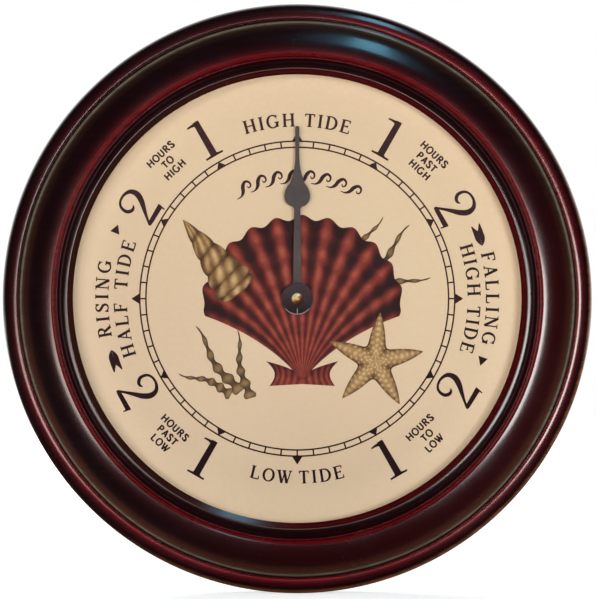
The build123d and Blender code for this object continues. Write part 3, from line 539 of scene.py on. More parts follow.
def band(path, half, order=0, closed=False):
    # a flat band: each point of the path gets a rectangle across it, as wide as the half width says
    path, half = np.asarray(path, float), np.broadcast_to(np.asarray(half, float), len(path))
    if closed:
        step = np.roll(path, -1, 0) - np.roll(path, 1, 0)
    else:
        step = np.gradient(path, axis=0)
    step /= np.linalg.norm(step, axis=1)[:, None]
    across = np.column_stack([-step[:, 1], step[:, 0]]) * half[:, None]
    low, high = inkShape["low"], inkShape["high"] + inkShape["lift"] * order
    rectangle = np.stack([
        onDial(path + across, low), onDial(path + across, high),
        onDial(path - across, high), onDial(path - across, low)], 1)
    quads = gridQuads(len(path), 4, closed, True)
    if not closed:
        last = 4 * (len(path) - 1)
        quads = np.concatenate([quads, [[0, 1, 2, 3]], [[last + 3, last + 2, last + 1, last]]])
    return rectangle.reshape(-1, 3), quads


def polar(radius, degrees):
    # radius and direction as width and height
    turn = np.radians(degrees)
    return np.stack([radius * np.cos(turn), radius * np.sin(turn)], -1)


def heading(degrees):
    # a unit step in a direction, and one to the left of it
    turn = math.radians(degrees)
    return np.array([math.cos(turn), math.sin(turn)]), np.array([-math.sin(turn), math.cos(turn)])


track = {
    "outer": 95.0, "inner": 91.3, "line": 0.47, "tick": 0.46, "hours": 12, "divisions": 5,
    "markHalf": 3.1, "markTip": 0.15, "quarterHalf": 3.3, "quarterHeight": 4.9,
}
hourStep = 360 / track["hours"]


def trackParts(t):
    # two rings round the dial, and short bars from one to the other, five to each hour
    turn = np.linspace(0, 360, 240, endpoint=False)
    parts = [band(polar(radius, turn), t["line"], 0, True) for radius in (t["outer"], t["inner"])]
    for angle in np.arange(0, 360, hourStep / t["divisions"]):
        parts.append(band(polar(np.array([t["inner"], t["outer"]]), angle), t["tick"], 1))
    return parts


def markParts(t):
    # small pointed marks in the band at the hours, and larger ones outside it at the quarters
    parts = []
    for quarterTurn in (90, 270):
        for hour in (-2, -1, 1, 2):
            angle = quarterTurn + hour * hourStep
            parts.append(band(
                polar(np.array([t["inner"], t["outer"]]), angle), [t["markHalf"], t["markTip"]], 2))
    for angle in (0, 90, 180, 270):
        reach = np.array([t["outer"], t["outer"] + t["quarterHeight"]])
        parts.append(band(polar(reach, angle), [t["quarterHalf"], t["markTip"]], 2))
    return parts


serifStyle = {"thick": 0.1, "thin": 0.048, "serif": 0.17, "foot": 0.036}
plainStyle = {"thick": 0.125, "thin": 0.11, "serif": 0, "foot": 0}


def line(x0, y0, x1, y1, half, halfEnd=None):
    # a straight stroke from one point to another, with its half width at each
    return np.array([[x0, y0], [x1, y1]]), np.array([half, half if halfEnd is None else halfEnd])


def bow(cx, cy, rx, ry, start, end, style):
    # part of an ellipse, widest where the pen runs upright
    turn = np.radians(np.linspace(start, end, max(5, int(abs(end - start) / 12))))
    path = np.column_stack([cx + rx * np.cos(turn), cy + ry * np.sin(turn)])
    return path, style["thin"] + (style["thick"] - style["thin"]) * np.abs(np.cos(turn)) ** 1.4


def flow(points, halves, count=28):
    # a smooth curve through a few points, each coordinate an even cubic spline of the point's number
    points = np.column_stack([np.asarray(points, float), halves])
    padded = np.concatenate([2 * points[:1] - points[1:2], points, 2 * points[-1:] - points[-2:-1]])
    place = np.linspace(0, len(points) - 1 - 1e-9, count)
    index, share = place.astype(int), (place % 1)[:, None]
    a, b, c, d = (padded[index + offset] for offset in range(4))
    curve = b + 0.5 * share * (c - a + share * (2 * a - 5 * b + 4 * c - d + share * (3 * (b - c) + d - a)))
    return curve[:, :2], curve[:, 2]


def foot(style, x, y, left=1.0, right=1.0):
    # a serif lying on the line at y, 0 or 1, drawn inside the letter's height
    if not style["serif"]:
        return []
    level = y + style["foot"] * (1 if y < 0.5 else -1)
    return [line(x - style["serif"] * left, level, x + style["serif"] * right, level, style["foot"])]


def stem(style, x):
    # an upright with a serif at its head and foot
    return [line(x, 0, x, 1, style["thick"])] + foot(style, x, 0) + foot(style, x, 1)


def tick(style, x, y0, y1):
    # the upright end of an arm, thin at its tip
    return [line(x, y0, x, y1, style["thin"] * 1.3, style["thin"] * 0.5)] if style["serif"] else []


def post(style, x):
    # an upright that a serif letter draws thin
    return [line(x, 0, x, 1, style["thin"] if style["serif"] else style["thick"])]


def snake(style):
    # one smooth stroke, thin at its ends and thick where it crosses the letter
    thick, thin = style["thick"], style["thin"]
    return [flow(
        [(0.57, 0.74), (0.5, 0.9), (0.33, 0.97), (0.14, 0.86), (0.14, 0.68), (0.34, 0.53),
         (0.54, 0.38), (0.55, 0.14), (0.34, 0.03), (0.14, 0.1), (0.06, 0.27)],
        [thin, thin, thin, thin * 1.6, thick, thick, thick, thin * 1.6, thin, thin, thin])]


strokeKinds = {
    "foot": foot, "stem": stem, "tick": tick, "post": post, "snake": snake,
    "bow": lambda style, *shape: [bow(*shape, style)],
    "thin": lambda style, *ends: [line(*ends, style["thin"])],
    "thick": lambda style, *ends: [line(*ends, style["thick"])],
    "roof": lambda style, x0, x1: [line(x0, 1 - style["thin"], x1, 1 - style["thin"], style["thin"])],
}
# each letter's width and its strokes in the order they are drawn, in shares of the letter's height
letters = {
    "A": (0.84, "thin .12 0 .42 1, thick .4 1 .72 0, thin .22 .33 .62 .33, foot .12 0 .8 .8, foot .73 0"),
    "D": (0.9, "stem .17, bow .36 .5 .44 .47 -90 90, thin .17 .03 .38 .03, thin .17 .97 .38 .97"),
    "E": (0.78, "stem .17, thin .17 .97 .66 .97, thin .17 .52 .52 .52, thin .17 .03 .68 .03, "
                "tick .65 .98 .76, tick .52 .62 .42, tick .69 .02 .27"),
    "F": (0.68, "stem .17, thin .17 .97 .64 .97, thin .17 .5 .5 .5, tick .63 .98 .74, tick .5 .61 .39"),
    "G": (0.96, "bow .46 .5 .38 .47 48 322, thick .78 .06 .78 .42, thin .60 .42 .92 .42, tick .76 .97 .68"),
    "H": (0.92, "stem .17, stem .75, thin .17 .52 .75 .52"),
    "I": (0.36, "stem .18"),
    "L": (0.72, "stem .17, thin .17 .03 .66 .03, tick .67 .02 .3"),
    "N": (0.94, "post .17, post .77, thick .15 1 .77 0, foot .17 0, foot .13 1 .9 .4, foot .77 1"),
    "O": (0.92, "bow .46 .5 .38 .47 0 360"),
    "P": (0.74, "stem .16, bow .4 .72 .22 .24 -90 90, thin .16 .96 .42 .96, thin .16 .48 .42 .48"),
    "R": (0.86, "stem .17, bow .4 .745 .22 .225 -90 90, thin .17 .97 .42 .97, thin .17 .52 .42 .52, "
                "thick .42 .5 .74 0, foot .76 0 .3 .9"),
    "S": (0.66, "snake, tick .59 .98 .72, tick .05 .02 .28"),
    "T": (0.76, "stem .38, roof .03 .73, tick .04 .96 .76, tick .72 .96 .76"),
    "U": (0.84, "thick .16 1 .16 .34, bow .42 .34 .26 .28 180 360, thick .68 .34 .68 1"),
    "W": (1.12, "thick .1 1 .36 0, thin .36 0 .6 1, thick .5 1 .76 0, thin .76 0 1.02 1, "
                "foot .1 1, foot .52 1, foot 1 1 .8 .8"),
}


def drawn(sign, style):
    # the letter's strokes, each a path and its half widths, and the letter's width
    width, strokes = letters[sign]
    made = []
    for kind, *numbers in (stroke.split() for stroke in strokes.split(",")):
        made += strokeKinds[kind](style, *map(float, numbers))
    return made, width


def numeralOne():
    # a tapering upright with a thin flag to the left and a foot that thickens into the upright
    flag = flow([(-0.27, 0.935), (-0.16, 0.945), (-0.06, 0.935), (0.0, 0.93), (0.05, 0.97)],
                [0.02, 0.03, 0.046, 0.072, 0.05], 14)
    run = np.array([-0.24, -0.16, -0.1, -0.05, 0, 0.05, 0.1, 0.16, 0.24])
    half = np.array([0.024, 0.026, 0.032, 0.046, 0.052, 0.046, 0.032, 0.026, 0.024])
    return [line(0, 0.02, 0, 1.0, 0.09, 0.078), flag, (np.column_stack([run, half]), half)], 0.0


def numeralTwo():
    # a curl that opens into the bowl, thins on its way down to the left, and a heavy base with a dropped end
    curl = flow(
        [(0.255, 0.6), (0.19, 0.56), (0.11, 0.58), (0.045, 0.67), (0.07, 0.82), (0.18, 0.905), (0.35, 0.91),
         (0.495, 0.82), (0.525, 0.655), (0.44, 0.49), (0.31, 0.345), (0.18, 0.2), (0.05, 0.045)],
        [0.014, 0.032, 0.042, 0.04, 0.032, 0.028, 0.033, 0.05, 0.067, 0.064, 0.048, 0.032, 0.026], 48)
    base = flow([(0.035, 0.035), (0.12, 0.05), (0.3, 0.05), (0.555, 0.046)], [0.022, 0.05, 0.056, 0.062], 12)
    return [curl, base, line(0.557, 0.105, 0.532, -0.08, 0.026, 0.015)], 0.56


def placed(strokes, width, size, radius, degrees, inward):
    # a letter turned as one piece about its place on the circle, its top outward or inward
    up, left = heading(degrees)
    foundation, right = up * radius, -left
    if inward:
        up, right = -up, -right
    return [
        band(foundation + (path[:, 0:1] - width / 2) * size * right + path[:, 1:2] * size * up,
             half * size, order)
        for order, (path, half) in enumerate(strokes)]


def arcWord(text, size, radius, degrees, length, space, inward, style):
    # letters set round the circle, spaced so that the word takes up the given length of arc
    made = [drawn(sign, style) if sign != " " else ([], space) for sign in text]
    widths = np.array([width for _, width in made]) * size
    gap = (length - widths.sum()) / (len(text) - 1)
    middles = np.cumsum(widths + gap) - gap - widths / 2 - length / 2
    parts = []
    for (strokes, width), middle in zip(made, middles):
        angle = degrees + math.degrees(middle / radius) * (1 if inward else -1)
        parts += placed(strokes, width, size, radius, angle, inward)
    return parts


# each word: text, size, radius, degrees, length of its arc, width of its space, and whether its top is inward
words = [
    ("HIGH TIDE", 8.0, 103.8, 90, 63.2, 0.3, False), ("LOW TIDE", 7.8, 111.6, 270, 58.4, 0.1, True),
    ("RISING", 8.0, 113.9, 180, 45.4, 0, False), ("HALF TIDE", 8.0, 102.7, 180, 68.8, 0.45, False),
    ("FALLING", 8.0, 113.9, 0, 54.6, 0, False), ("HIGH TIDE", 8.0, 102.7, 0, 64.0, 0.3, False)]
numerals = [
    {"draw": numeralOne, "hour": 1, "size": 24.0, "upper": 99.2, "lower": 123.2},
    {"draw": numeralTwo, "hour": 2, "size": 25.9, "upper": 98.3, "lower": 122.9},
]


def numeralParts(numerals):
    # each numeral stands left and right of the top and of the foot, where its own top is inward
    parts = []
    for numeral in numerals:
        strokes, width = numeral["draw"]()
        for turn in (-numeral["hour"] * hourStep, numeral["hour"] * hourStep):
            parts += placed(strokes, width, numeral["size"], numeral["upper"], 90 + turn, False)
            parts += placed(strokes, width, numeral["size"], numeral["lower"], 270 + turn, True)
    return parts


captions = {
    "size": 4.35, "pitch": 6.4, "radius": 113.6, "stretch": 1.02, "gap": 0.1,
    "blocks": [(("HOURS", "TO", "HIGH"), 133.5, 43.5), (("HOURS", "PAST", "HIGH"), 46.5, -43.5),
               (("HOURS", "PAST", "LOW"), 226.5, -43.5), (("HOURS", "TO", "LOW"), 313.5, 43.5)]}


def captionParts(c):
    # three short lines centred over each other, the block turned about its middle
    parts = []
    for lines, degrees, tilt in c["blocks"]:
        middle = polar(c["radius"], degrees)
        right, up = heading(tilt)
        for row, text in enumerate(lines):
            made = [drawn(sign, plainStyle) for sign in text]
            widths = np.array([width * c["stretch"] + c["gap"] for _, width in made]) * c["size"]
            starts = np.cumsum(widths) - widths - (widths.sum() - c["gap"] * c["size"]) / 2
            level = (1 - row) * c["pitch"] - c["size"] / 2
            for (strokes, _), start in zip(made, starts):
                for order, (path, half) in enumerate(strokes):
                    across = start + path[:, 0:1] * c["size"] * c["stretch"]
                    flat = middle + across * right + (level + path[:, 1:2] * c["size"]) * up
                    parts.append(band(flat, half * c["size"], order))
    return parts


arrows = {
    "headHalf": 3.0, "headLength": 5.2, "featherHalf": 2.95, "featherLength": 13.2,
    "pairs": [(180, 117.0, 21.1, 116.4, 18.7), (0, 117.6, 18.8, 116.2, 19.2)],
}


def arrowParts(a):
    # a pointed head ahead of each curved pair of words and a notched feather behind it; each vane of the
    # feather runs between an outer edge and an inner edge, given at shares of its length
    parts = []
    share = np.array([0, 0.12, 0.3, 0.65, 0.8, 0.92, 1])
    outer = np.array([0.96, 1, 1, 1, 0.74, 0.36, 0.02])
    inner = np.array([0.74, 0.5, 0, 0, 0, 0, 0])
    for middle, headRadius, headTurn, featherRadius, featherTurn in a["pairs"]:
        length = math.degrees(a["headLength"] / headRadius)
        head = middle - headTurn + length * np.array([0.5, -0.5])
        parts.append(band(polar(headRadius, head), [a["headHalf"], 0.12]))
        length = math.degrees(a["featherLength"] / featherRadius)
        for side in (-1, 1):
            offset = side * a["featherHalf"] * (outer + inner) / 2
            path = polar(featherRadius + offset, middle + featherTurn + length * (0.5 - share))
            parts.append(band(path, a["featherHalf"] * (outer - inner) / 2))
    return parts


waves = {"radius": 69.6, "count": 8, "spread": 53.0, "size": 9.2}


def waveParts(w):
    # a row of curling waves round the circle, each one smooth stroke that rises, leans over and curls in
    stroke, half = flow(
        [(-0.62, 0.02), (-0.3, 0.05), (-0.06, 0.26), (0.08, 0.6), (0.32, 0.82), (0.56, 0.7), (0.58, 0.45),
         (0.42, 0.36), (0.34, 0.5)],
        [0.02, 0.055, 0.11, 0.125, 0.09, 0.07, 0.055, 0.045, 0.03], 40)
    parts = []
    for number in range(w["count"]):
        middle = 90 + w["spread"] * (0.5 - number / (w["count"] - 1))
        parts += placed([(stroke, half)], 0, w["size"], w["radius"], middle, False)
    return parts


prints = {
    "minute_track": trackParts(track), "hour_marks": markParts(track),
    "tide_words": [part for word in words for part in arcWord(*word, serifStyle)],
    "hour_numerals": numeralParts(numerals), "hour_captions": captionParts(captions),
    "tide_arrows": arrowParts(arrows), "wave_row": waveParts(waves)}
for name, parts in prints.items():
    makePiece(name, parts, ink, "clock")
print("scale and lettering printed")

# picture in the middle of the dial: shells, a starfish and weed

picture = {
    "low": -0.02,
    "scallop": {"hinge": (3.0, -50.0), "reach": 99.0, "spread": 56.0, "ribs": 12, "high": 0.055,
                "rows": 70, "columns": 391},
    "ears": {"width": 21.0, "height": 15.0, "high": 0.045},
    "star": {"place": (47.0, -38.0), "arm": 30.0, "waist": 0.36, "turn": 12.0, "high": 0.07, "cells": 90},
    "whelk": {"place": (-49.0, 22.0), "length": 56.0, "width": 15.0, "turn": 128.0, "whorls": 6,
              "high": 0.07},
    # each ribbon of weed: its foot, direction, length, sway and half width
    "weed": {"high": 0.035, "step": 0.002, "ribbons": [
        ((-34, -56), 130, 48, 5, 3.4), ((-40, -58), 152, 34, -4, 2.8), ((-28, -60), 106, 42, 4, 3.0),
        ((34, 8), 42, 50, -5, 3.2), ((36, 2), 18, 46, 4, 2.8), ((30, 16), 62, 40, 4, 2.6)]},
}


def slabOf(flat, low, high, tone):
    # a closed slab from a grid of flat points: its face, its back and the rim between them
    rows, columns = flat.shape[:2]
    loop = np.concatenate([onDial(flat, high), onDial(flat[:, ::-1], low)], 1)
    tones = np.concatenate([tone, tone[:, ::-1]], 1)
    quads = gridQuads(rows, 2 * columns, False, True)
    left = np.arange(columns - 1)
    for base, flip in ((0, False), ((rows - 1) * 2 * columns, True)):
        far = base + 2 * columns - 1 - left
        cap = np.stack([base + left, base + left + 1, far - 1, far], -1)
        quads = np.concatenate([quads, cap if flip else cap[:, ::-1]])
    return (loop.reshape(-1, 3), quads), tones.ravel()


def discGrid(cells):
    # an even square grid pressed into a round one: the larger coordinate becomes the distance
    u, v = np.meshgrid(np.linspace(-1, 1, cells), np.linspace(-1, 1, cells), indexing="ij")
    wide = np.abs(u) > np.abs(v)
    radius = np.where(wide, u, v)
    share = np.divide(np.where(wide, v, u), np.where(radius == 0, 1, radius))
    angle = np.where(wide, share * math.pi / 4, math.pi / 2 - share * math.pi / 4)
    return np.abs(radius), np.where(radius < 0, angle + math.pi, angle)


def scallopSlab(s, low):
    # a fan from the hinge: angle across, distance out; the edge and the tone both follow the ribs
    share = np.linspace(0.02, 1, s["rows"])[:, None]
    across = np.linspace(-1, 1, s["columns"])[None, :]
    rib = np.cos(across * math.pi * s["ribs"])
    swing = np.radians(across * s["spread"])
    edge = s["reach"] * np.cos(swing) ** 0.52 * (1 + 0.016 * rib) * (1 - 0.05 * across ** 20)
    turn = math.pi / 2 - swing * (0.62 + 0.38 * share ** 0.7)
    radius = edge * share
    flat = np.stack([s["hinge"][0] + radius * np.cos(turn), s["hinge"][1] + radius * np.sin(turn)], -1)
    growth = 0.5 + 0.5 * np.sin(share * 46 + 0.8 * np.sin(across * 3))
    tone = 0.5 + 0.3 * rib * (0.35 + 0.65 * share) - 0.2 * growth * share
    tone = tone - 0.2 * share ** 6 - 0.14 * across ** 4
    return slabOf(flat, low, s["high"], tone)


def earSlab(side, s, ears, low):
    # one wing beside the hinge: it runs from the hinge line up to the fan's flank, and its end is hollowed
    u, v = np.meshgrid(np.linspace(0, 1, 24), np.linspace(0, 1, 12), indexing="ij")
    hollow = 1 - 0.2 * np.sin(v * math.pi) * u
    x = s["hinge"][0] + side * ears["width"] * u * hollow * (0.94 + 0.1 * v)
    y = s["hinge"][1] - 1.5 + ears["height"] * v * (0.25 + 0.75 * u ** 0.6) - 1.2 * u
    tone = 0.5 + 0.16 * np.sin(u * 30 + v * 3) - 0.3 * v ** 3 - 0.12 * u ** 6
    return slabOf(np.stack([x, y], -1), low, ears["high"], tone)


def starSlab(s, low):
    # a five-armed figure: the reach swells at each arm, and the tone has a pale ridge with rows of dots
    distance, angle = discGrid(s["cells"])
    wave = np.abs((angle * 5 / (2 * math.pi) + 0.5) % 1 - 0.5) * 2
    reach = s["arm"] * (s["waist"] + (1 - s["waist"]) * (1 - wave) ** 2.1)
    turn = angle + math.radians(s["turn"])
    flat = np.stack([s["place"][0] + distance * reach * np.cos(turn),
                     s["place"][1] + distance * reach * np.sin(turn)], -1)
    dots = np.clip(np.cos(distance * reach * 1.9) * np.cos(wave * 8), 0, 1)
    tone = 0.62 - 0.34 * wave * distance + 0.3 * dots - 0.35 * distance ** 8
    return slabOf(flat, low, s["high"], tone)


def whelkSlab(s, low):
    # a tapering coil: the half width falls towards the tip and swells at each turn; sutures are dark
    share = np.linspace(0, 1, 90)[:, None]
    across = np.linspace(-1, 1, 31)[None, :]
    lap = (share ** 0.72) * s["whorls"] + 0.16 * across
    swell = np.abs(np.sin(lap * math.pi)) ** 0.5
    mouth = np.where(share < 0.1, (share / 0.1) ** 0.4 * 0.6 + 0.4, 1)
    half = s["width"] * (1 - share) ** 0.8 * (0.83 + 0.17 * swell) * mouth
    along = s["length"] * (share - 0.42)
    axis, side = heading(s["turn"])
    flat = np.array(s["place"]) + along[..., None] * axis + (half * across)[..., None] * side
    tone = 0.2 + 0.42 * swell - 0.28 * across ** 2 + 0.16 * np.sin(across * 9 + share * 20) * swell
    return slabOf(flat, low, s["high"], np.broadcast_to(tone, flat.shape[:2]))


def weedSlab(start, degrees, length, sway, half, low, high):
    # a ribbon of weed: it sways from side to side as it rises and narrows to its tip
    share = np.linspace(0, 1, 60)[:, None]
    across = np.linspace(-1, 1, 9)[None, :]
    axis, side = heading(degrees)
    offset = sway * np.sin(share * 5.2) * share
    offset = offset + half * (1 - share) ** 0.7 * (1 + 0.35 * np.sin(share * 34)) * across
    flat = np.array(start) + (share * length)[..., None] * axis + offset[..., None] * side
    tone = 0.55 - 0.3 * across ** 2 + 0.2 * np.sin(share * 34) - 0.15 * share
    return slabOf(flat, low, high, np.broadcast_to(tone, flat.shape[:2]))


def pictureFinish(name, stops, speckle):
    # painted tones: the piece's own tone attribute goes through a ramp, with brush grain over it
    paint = Paint(name)
    tone = paint.add("ShaderNodeAttribute", {"attribute_name": "tone"}, take="Fac")
    grain = paint.noise(paint.place(), speckle, 5.0, 0.65)
    value = tone + (grain - 0.5) * 0.45
    return paint.finish({
        "Base Color": paint.ramp(value, stops), "Roughness": paint.varied(grain, 0.45, 0.6),
        "Specular IOR Level": 0.12})


low, weed = picture["low"], picture["weed"]
pictureParts = [
    ("picture_scallop", pictureFinish("shellPaint", [
        (0.05, (40, 13, 16)), (0.28, (72, 24, 24)), (0.52, (118, 44, 36)), (0.78, (160, 80, 62)),
        (1.0, (204, 146, 116))], 180.0),
     [scallopSlab(picture["scallop"], low)] + [
         earSlab(side, picture["scallop"], picture["ears"], low) for side in (-1, 1)]),
    ("picture_starfish", pictureFinish("sandPaint", [
        (0.05, (50, 32, 22)), (0.35, (104, 74, 46)), (0.6, (158, 124, 82)), (0.9, (206, 178, 134))], 240.0),
     [starSlab(picture["star"], low), whelkSlab(picture["whelk"], low)]),
    ("picture_weed", pictureFinish("weedPaint", [
        (0.1, (48, 34, 24)), (0.45, (94, 70, 46)), (0.8, (146, 116, 78))], 200.0),
     [weedSlab(*ribbon, low, weed["high"] + weed["step"] * number)
      for number, ribbon in enumerate(weed["ribbons"])]),
]
for name, material, slabs in pictureParts:
    shells, tones = zip(*slabs)
    makePiece(name, shells, material, "clock", False, tones)
print("picture printed")

# hand and centre

slate = {
    "blade": [(0.3, (64, 55, 57)), (0.7, (82, 74, 75))], "hub": [(0.0, (22, 8, 14)), (1.0, (62, 47, 53))],
    "hubBorder": (13.0, 8.5), "hubShadeRun": (-8.0, 9.0)}


def slateFinish(s):
    # dull enamel over stamped metal, worn paler in small clouds; the hub has painted shade and reflection,
    # dark at its foot and paler at its top
    paint = Paint("slateEnamel")
    place, x, y, z = paint.placeAndAxes()
    cloud, fine = paint.noise(place, 60.0, 4.0), paint.noise(place, 700.0, 2.0)
    # painted shade: the hub is dark at its foot and paler at its top
    hubShade = paint.ramp(paint.spread(z / mm, *s["hubShadeRun"]), s["hub"])
    return paint.finish({
        "Base Color": paint.blend(
            paint.spread(fromAxis(x, z), *s["hubBorder"]), paint.ramp(cloud, s["blade"]), hubShade),
        "Roughness": paint.varied(cloud, 0.42, 0.56), "Specular IOR Level": 0.12,
        "Normal": paint.bump(fine, 0.00001, 0.4)})


def turnedMetal(name, dark, pale, rough):
    # lathe-turned metal: fine rings about the clock's axis, tarnished in clouds
    paint = Paint(name)
    place, x, y, z = paint.placeAndAxes()
    rings = paint.add("ShaderNodeMath", {"operation": "SINE"}, {0: fromAxis(x, z) * 60.0})
    cloud = paint.noise(place, 250.0, 3.0)
    return paint.finish({
        "Base Color": paint.ramp(cloud, [(0.3, dark), (0.7, pale)]), "Metallic": 1.0,
        "Roughness": paint.varied(cloud, rough, rough + 0.12),
        "Normal": paint.bump(rings, 0.000004, 0.3)})


hub = {"thickness": 0.6, "radius": 9.34, "half": 0.25, "rise": 0.3, "sink": 0.06,
       "slit": (-9.2, -3.7), "slitHalf": 0.24, "slitDepth": 0.05,
       "enamel": (48, 36, 41), "glint": (166, 146, 152)}


def hubTrim(h):
    # the rolled edge of the hub, a half-round ring, and a thin strip in its slit, which carries a painted
    # highlight
    front = -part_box("tide_hand")[1].y / mm + h["thickness"]
    turn = np.linspace(0, math.pi, 13)
    ring = np.column_stack([
        h["radius"] + h["half"] * np.cos(turn), front - h["sink"] + h["rise"] * np.sin(turn)])
    low, high = front - h["slitDepth"] - h["sink"], front - h["slitDepth"] + h["sink"]
    edge, (near, far) = h["slitHalf"], h["slit"]
    outline = np.array([[-edge, near], [edge, near], [edge, far], [-edge, far]])
    return [turnedShell(ring, 120), flatShell(outline, low, high)]


def trimFinish(h):
    # the enamel of the hub, with a painted highlight at its foot: a pale crescent on the rolled edge and a
    # pale line in the slit
    paint = Paint("hubTrim")
    place, x, y, z = paint.placeAndAxes()
    grain = paint.noise(place, 400.0, 3.0)
    # painted highlight: pale on the lower part of the rolled edge and in the slit
    glint = paint.spread(z / mm, -5.2, -7.4) * (paint.spread(z / mm, -9.7, -9.5) + 0.6)
    return paint.finish({
        "Base Color": paint.blend(glint, shade(*h["enamel"]), shade(*h["glint"])), "Metallic": 0.2,
        "Roughness": paint.varied(grain, 0.3, 0.42)})


makePiece("hub_trim", hubTrim(hub), trimFinish(hub), "hand", True)
dress(slateFinish(slate), "tide_hand")

button = {
    "brass": [(0.0, (84, 48, 28)), (0.4, (142, 94, 52)), (0.6, (200, 154, 96)), (0.76, (255, 240, 200))],
    "shadow": (62, 30, 20), "rim": (2.9, 3.7)}


def buttonFinish(b):
    # lacquered brass with a painted highlight on its upper left shoulder, painted shade towards the lower
    # right, and a painted shadow round its rim
    paint = Paint("buttonBrass")
    place, x, y, z = paint.placeAndAxes()
    cloud = paint.noise(place, 900.0, 3.0)
    # painted highlight and shade: bright at the upper left shoulder, dark towards the lower right
    lean = (z * 0.8 - x * 0.6) / mm + (cloud - 0.5) * 0.8
    tone = paint.ramp(paint.spread(lean, -3.4, 3.4), b["brass"])
    tone = paint.blend(paint.spread(fromAxis(x, z), *b["rim"]), tone, shade(*b["shadow"]))
    return paint.finish({
        "Base Color": tone, "Metallic": 0.45, "Roughness": paint.varied(cloud, 0.24, 0.36)})


dress(buttonFinish(button), "centre_button")
dress(turnedMetal("arborBrass", (176, 136, 70), (208, 170, 100), 0.25),
      "hand_collet", "tide_wheel", "centre_arbor")
dress(turnedMetal("postBrass", (182, 142, 74), (212, 174, 104), 0.28),
      "centre_post", "brass_washer", "mounting_nut")

# back: board, movement, cell and fixings

def grainedFinish(
        name, dark, pale, scale, roughLow, roughHigh, metallic=0.0, depth=0.00002, stretch=(1, 1, 1)):
    # one procedural finish for the small parts: two tones, a varying gloss and a fine relief
    paint = Paint(name)
    grain = paint.noise(paint.stretched(paint.place(), stretch), scale, 4.0, 0.6)
    return paint.finish({
        "Base Color": paint.ramp(grain, [(0.3, dark), (0.7, pale)]), "Metallic": metallic,
        "Roughness": paint.varied(grain, roughLow, roughHigh), "Normal": paint.bump(grain, depth, 0.5)})


def windingFinish():
    # turns of enamelled wire side by side along the coil
    paint = Paint("windingCopper")
    x, y, z = paint.axes(paint.place())
    turns = paint.add("ShaderNodeMath", {"operation": "SINE"}, {0: x / mm * 40.0})
    return paint.finish({
        "Base Color": paint.ramp(turns * 0.5 + 0.5, [(0.0, (86, 36, 18)), (1.0, (198, 112, 62))]),
        "Metallic": 0.8, "Roughness": 0.34, "Normal": paint.bump(turns, 0.00003, 0.6)})


cell = {"split": 9.0, "splitSoft": 0.3, "sleeveEnd": 24.2,
        "dark": (34, 34, 38), "warm": (182, 116, 66), "metal": (186, 186, 190)}


def cellFinish(c):
    # printed sleeve in two plain colours, bare metal at the ends
    paint = Paint("cellWrap")
    place, x, y, z = paint.placeAndAxes()
    along = x / mm
    scuff = paint.noise(paint.stretched(place, (40, 400, 400)), 1.0, 4.0)
    onWarm = paint.spread(along, c["split"] - c["splitSoft"], c["split"] + c["splitSoft"])
    onMetal = (along > c["sleeveEnd"]) + (along < -c["sleeveEnd"])
    sleeve = paint.blend(onWarm, shade(*c["dark"]), shade(*c["warm"]))
    return paint.finish({
        "Base Color": paint.blend(onMetal, sleeve, shade(*c["metal"])), "Metallic": onMetal * 0.95,
        "Roughness": paint.varied(scuff, 0.24, 0.4), "Normal": paint.bump(scuff, 0.00002, 0.3)})


# each finish as grainedFinish takes it, and the nodes that get it
smallParts = [
    (("boardFibre", (118, 88, 58), (160, 124, 86), 320.0, 0.75, 0.9, 0, 0.00008), "backing_board"),
    (("screwSteel", (120, 120, 124), (172, 172, 176), 500.0, 0.3, 0.5, 1.0),
     "board_screws", "hanger_screws", "bridge_screws", "core_screws"),
    (("platedSteel", (140, 136, 120), (188, 184, 168), 120.0, 0.28, 0.45, 1.0, 0.00001, (1, 1, 6)),
     "hanger_plate"),
    (("casePlastic", (16, 16, 17), (30, 30, 32), 900.0, 0.5, 0.68, 0, 0.00003),
     "movement_front_case", "movement_back_case"),
    (("knobPlastic", (22, 22, 24), (40, 40, 43), 700.0, 0.35, 0.5), "setting_knob"),
    (("sealRubber", (14, 14, 14), (26, 26, 26), 600.0, 0.8, 0.95), "rubber_washer"),
    (("bridgePlastic", (170, 167, 156), (196, 193, 182), 400.0, 0.45, 0.6), "train_bridge"),
    (("softIron", (98, 98, 104), (132, 132, 138), 300.0, 0.3, 0.46, 1.0, 0.00001, (1, 1, 8)),
     "stator_plate", "coil_core"),
    (("bobbinPlastic", (196, 196, 188), (220, 220, 212), 400.0, 0.4, 0.55), "coil_bobbin"),
    (("boardLaminate", (24, 66, 36), (40, 92, 52), 260.0, 0.3, 0.45), "circuit_board"),
    (("chipResin", (8, 8, 9), (18, 18, 20), 300.0, 0.16, 0.3), "chip_blob"),
    (("crystalCan", (176, 176, 180), (208, 208, 212), 500.0, 0.14, 0.26, 1.0), "quartz_crystal"),
    (("contactSteel", (160, 156, 146), (196, 192, 182), 600.0, 0.2, 0.34, 1.0),
     "battery_contact_plus", "battery_contact_minus", "clutch_spring"),
    (("gearPlastic", (206, 200, 184), (228, 224, 210), 500.0, 0.3, 0.42),
     "motion_wheel", "centre_drive_wheel", "third_wheel", "fourth_wheel", "fifth_wheel"),
    (("magnetFerrite", (28, 28, 30), (52, 52, 56), 800.0, 0.45, 0.6, 0.3), "rotor"),
]
for finish, *names in smallParts:
    dress(grainedFinish(*finish), *names)
dress(windingFinish(), "coil_winding")
dress(cellFinish(cell), "battery_cell")
print("back and movement finished")

# floor, light and camera

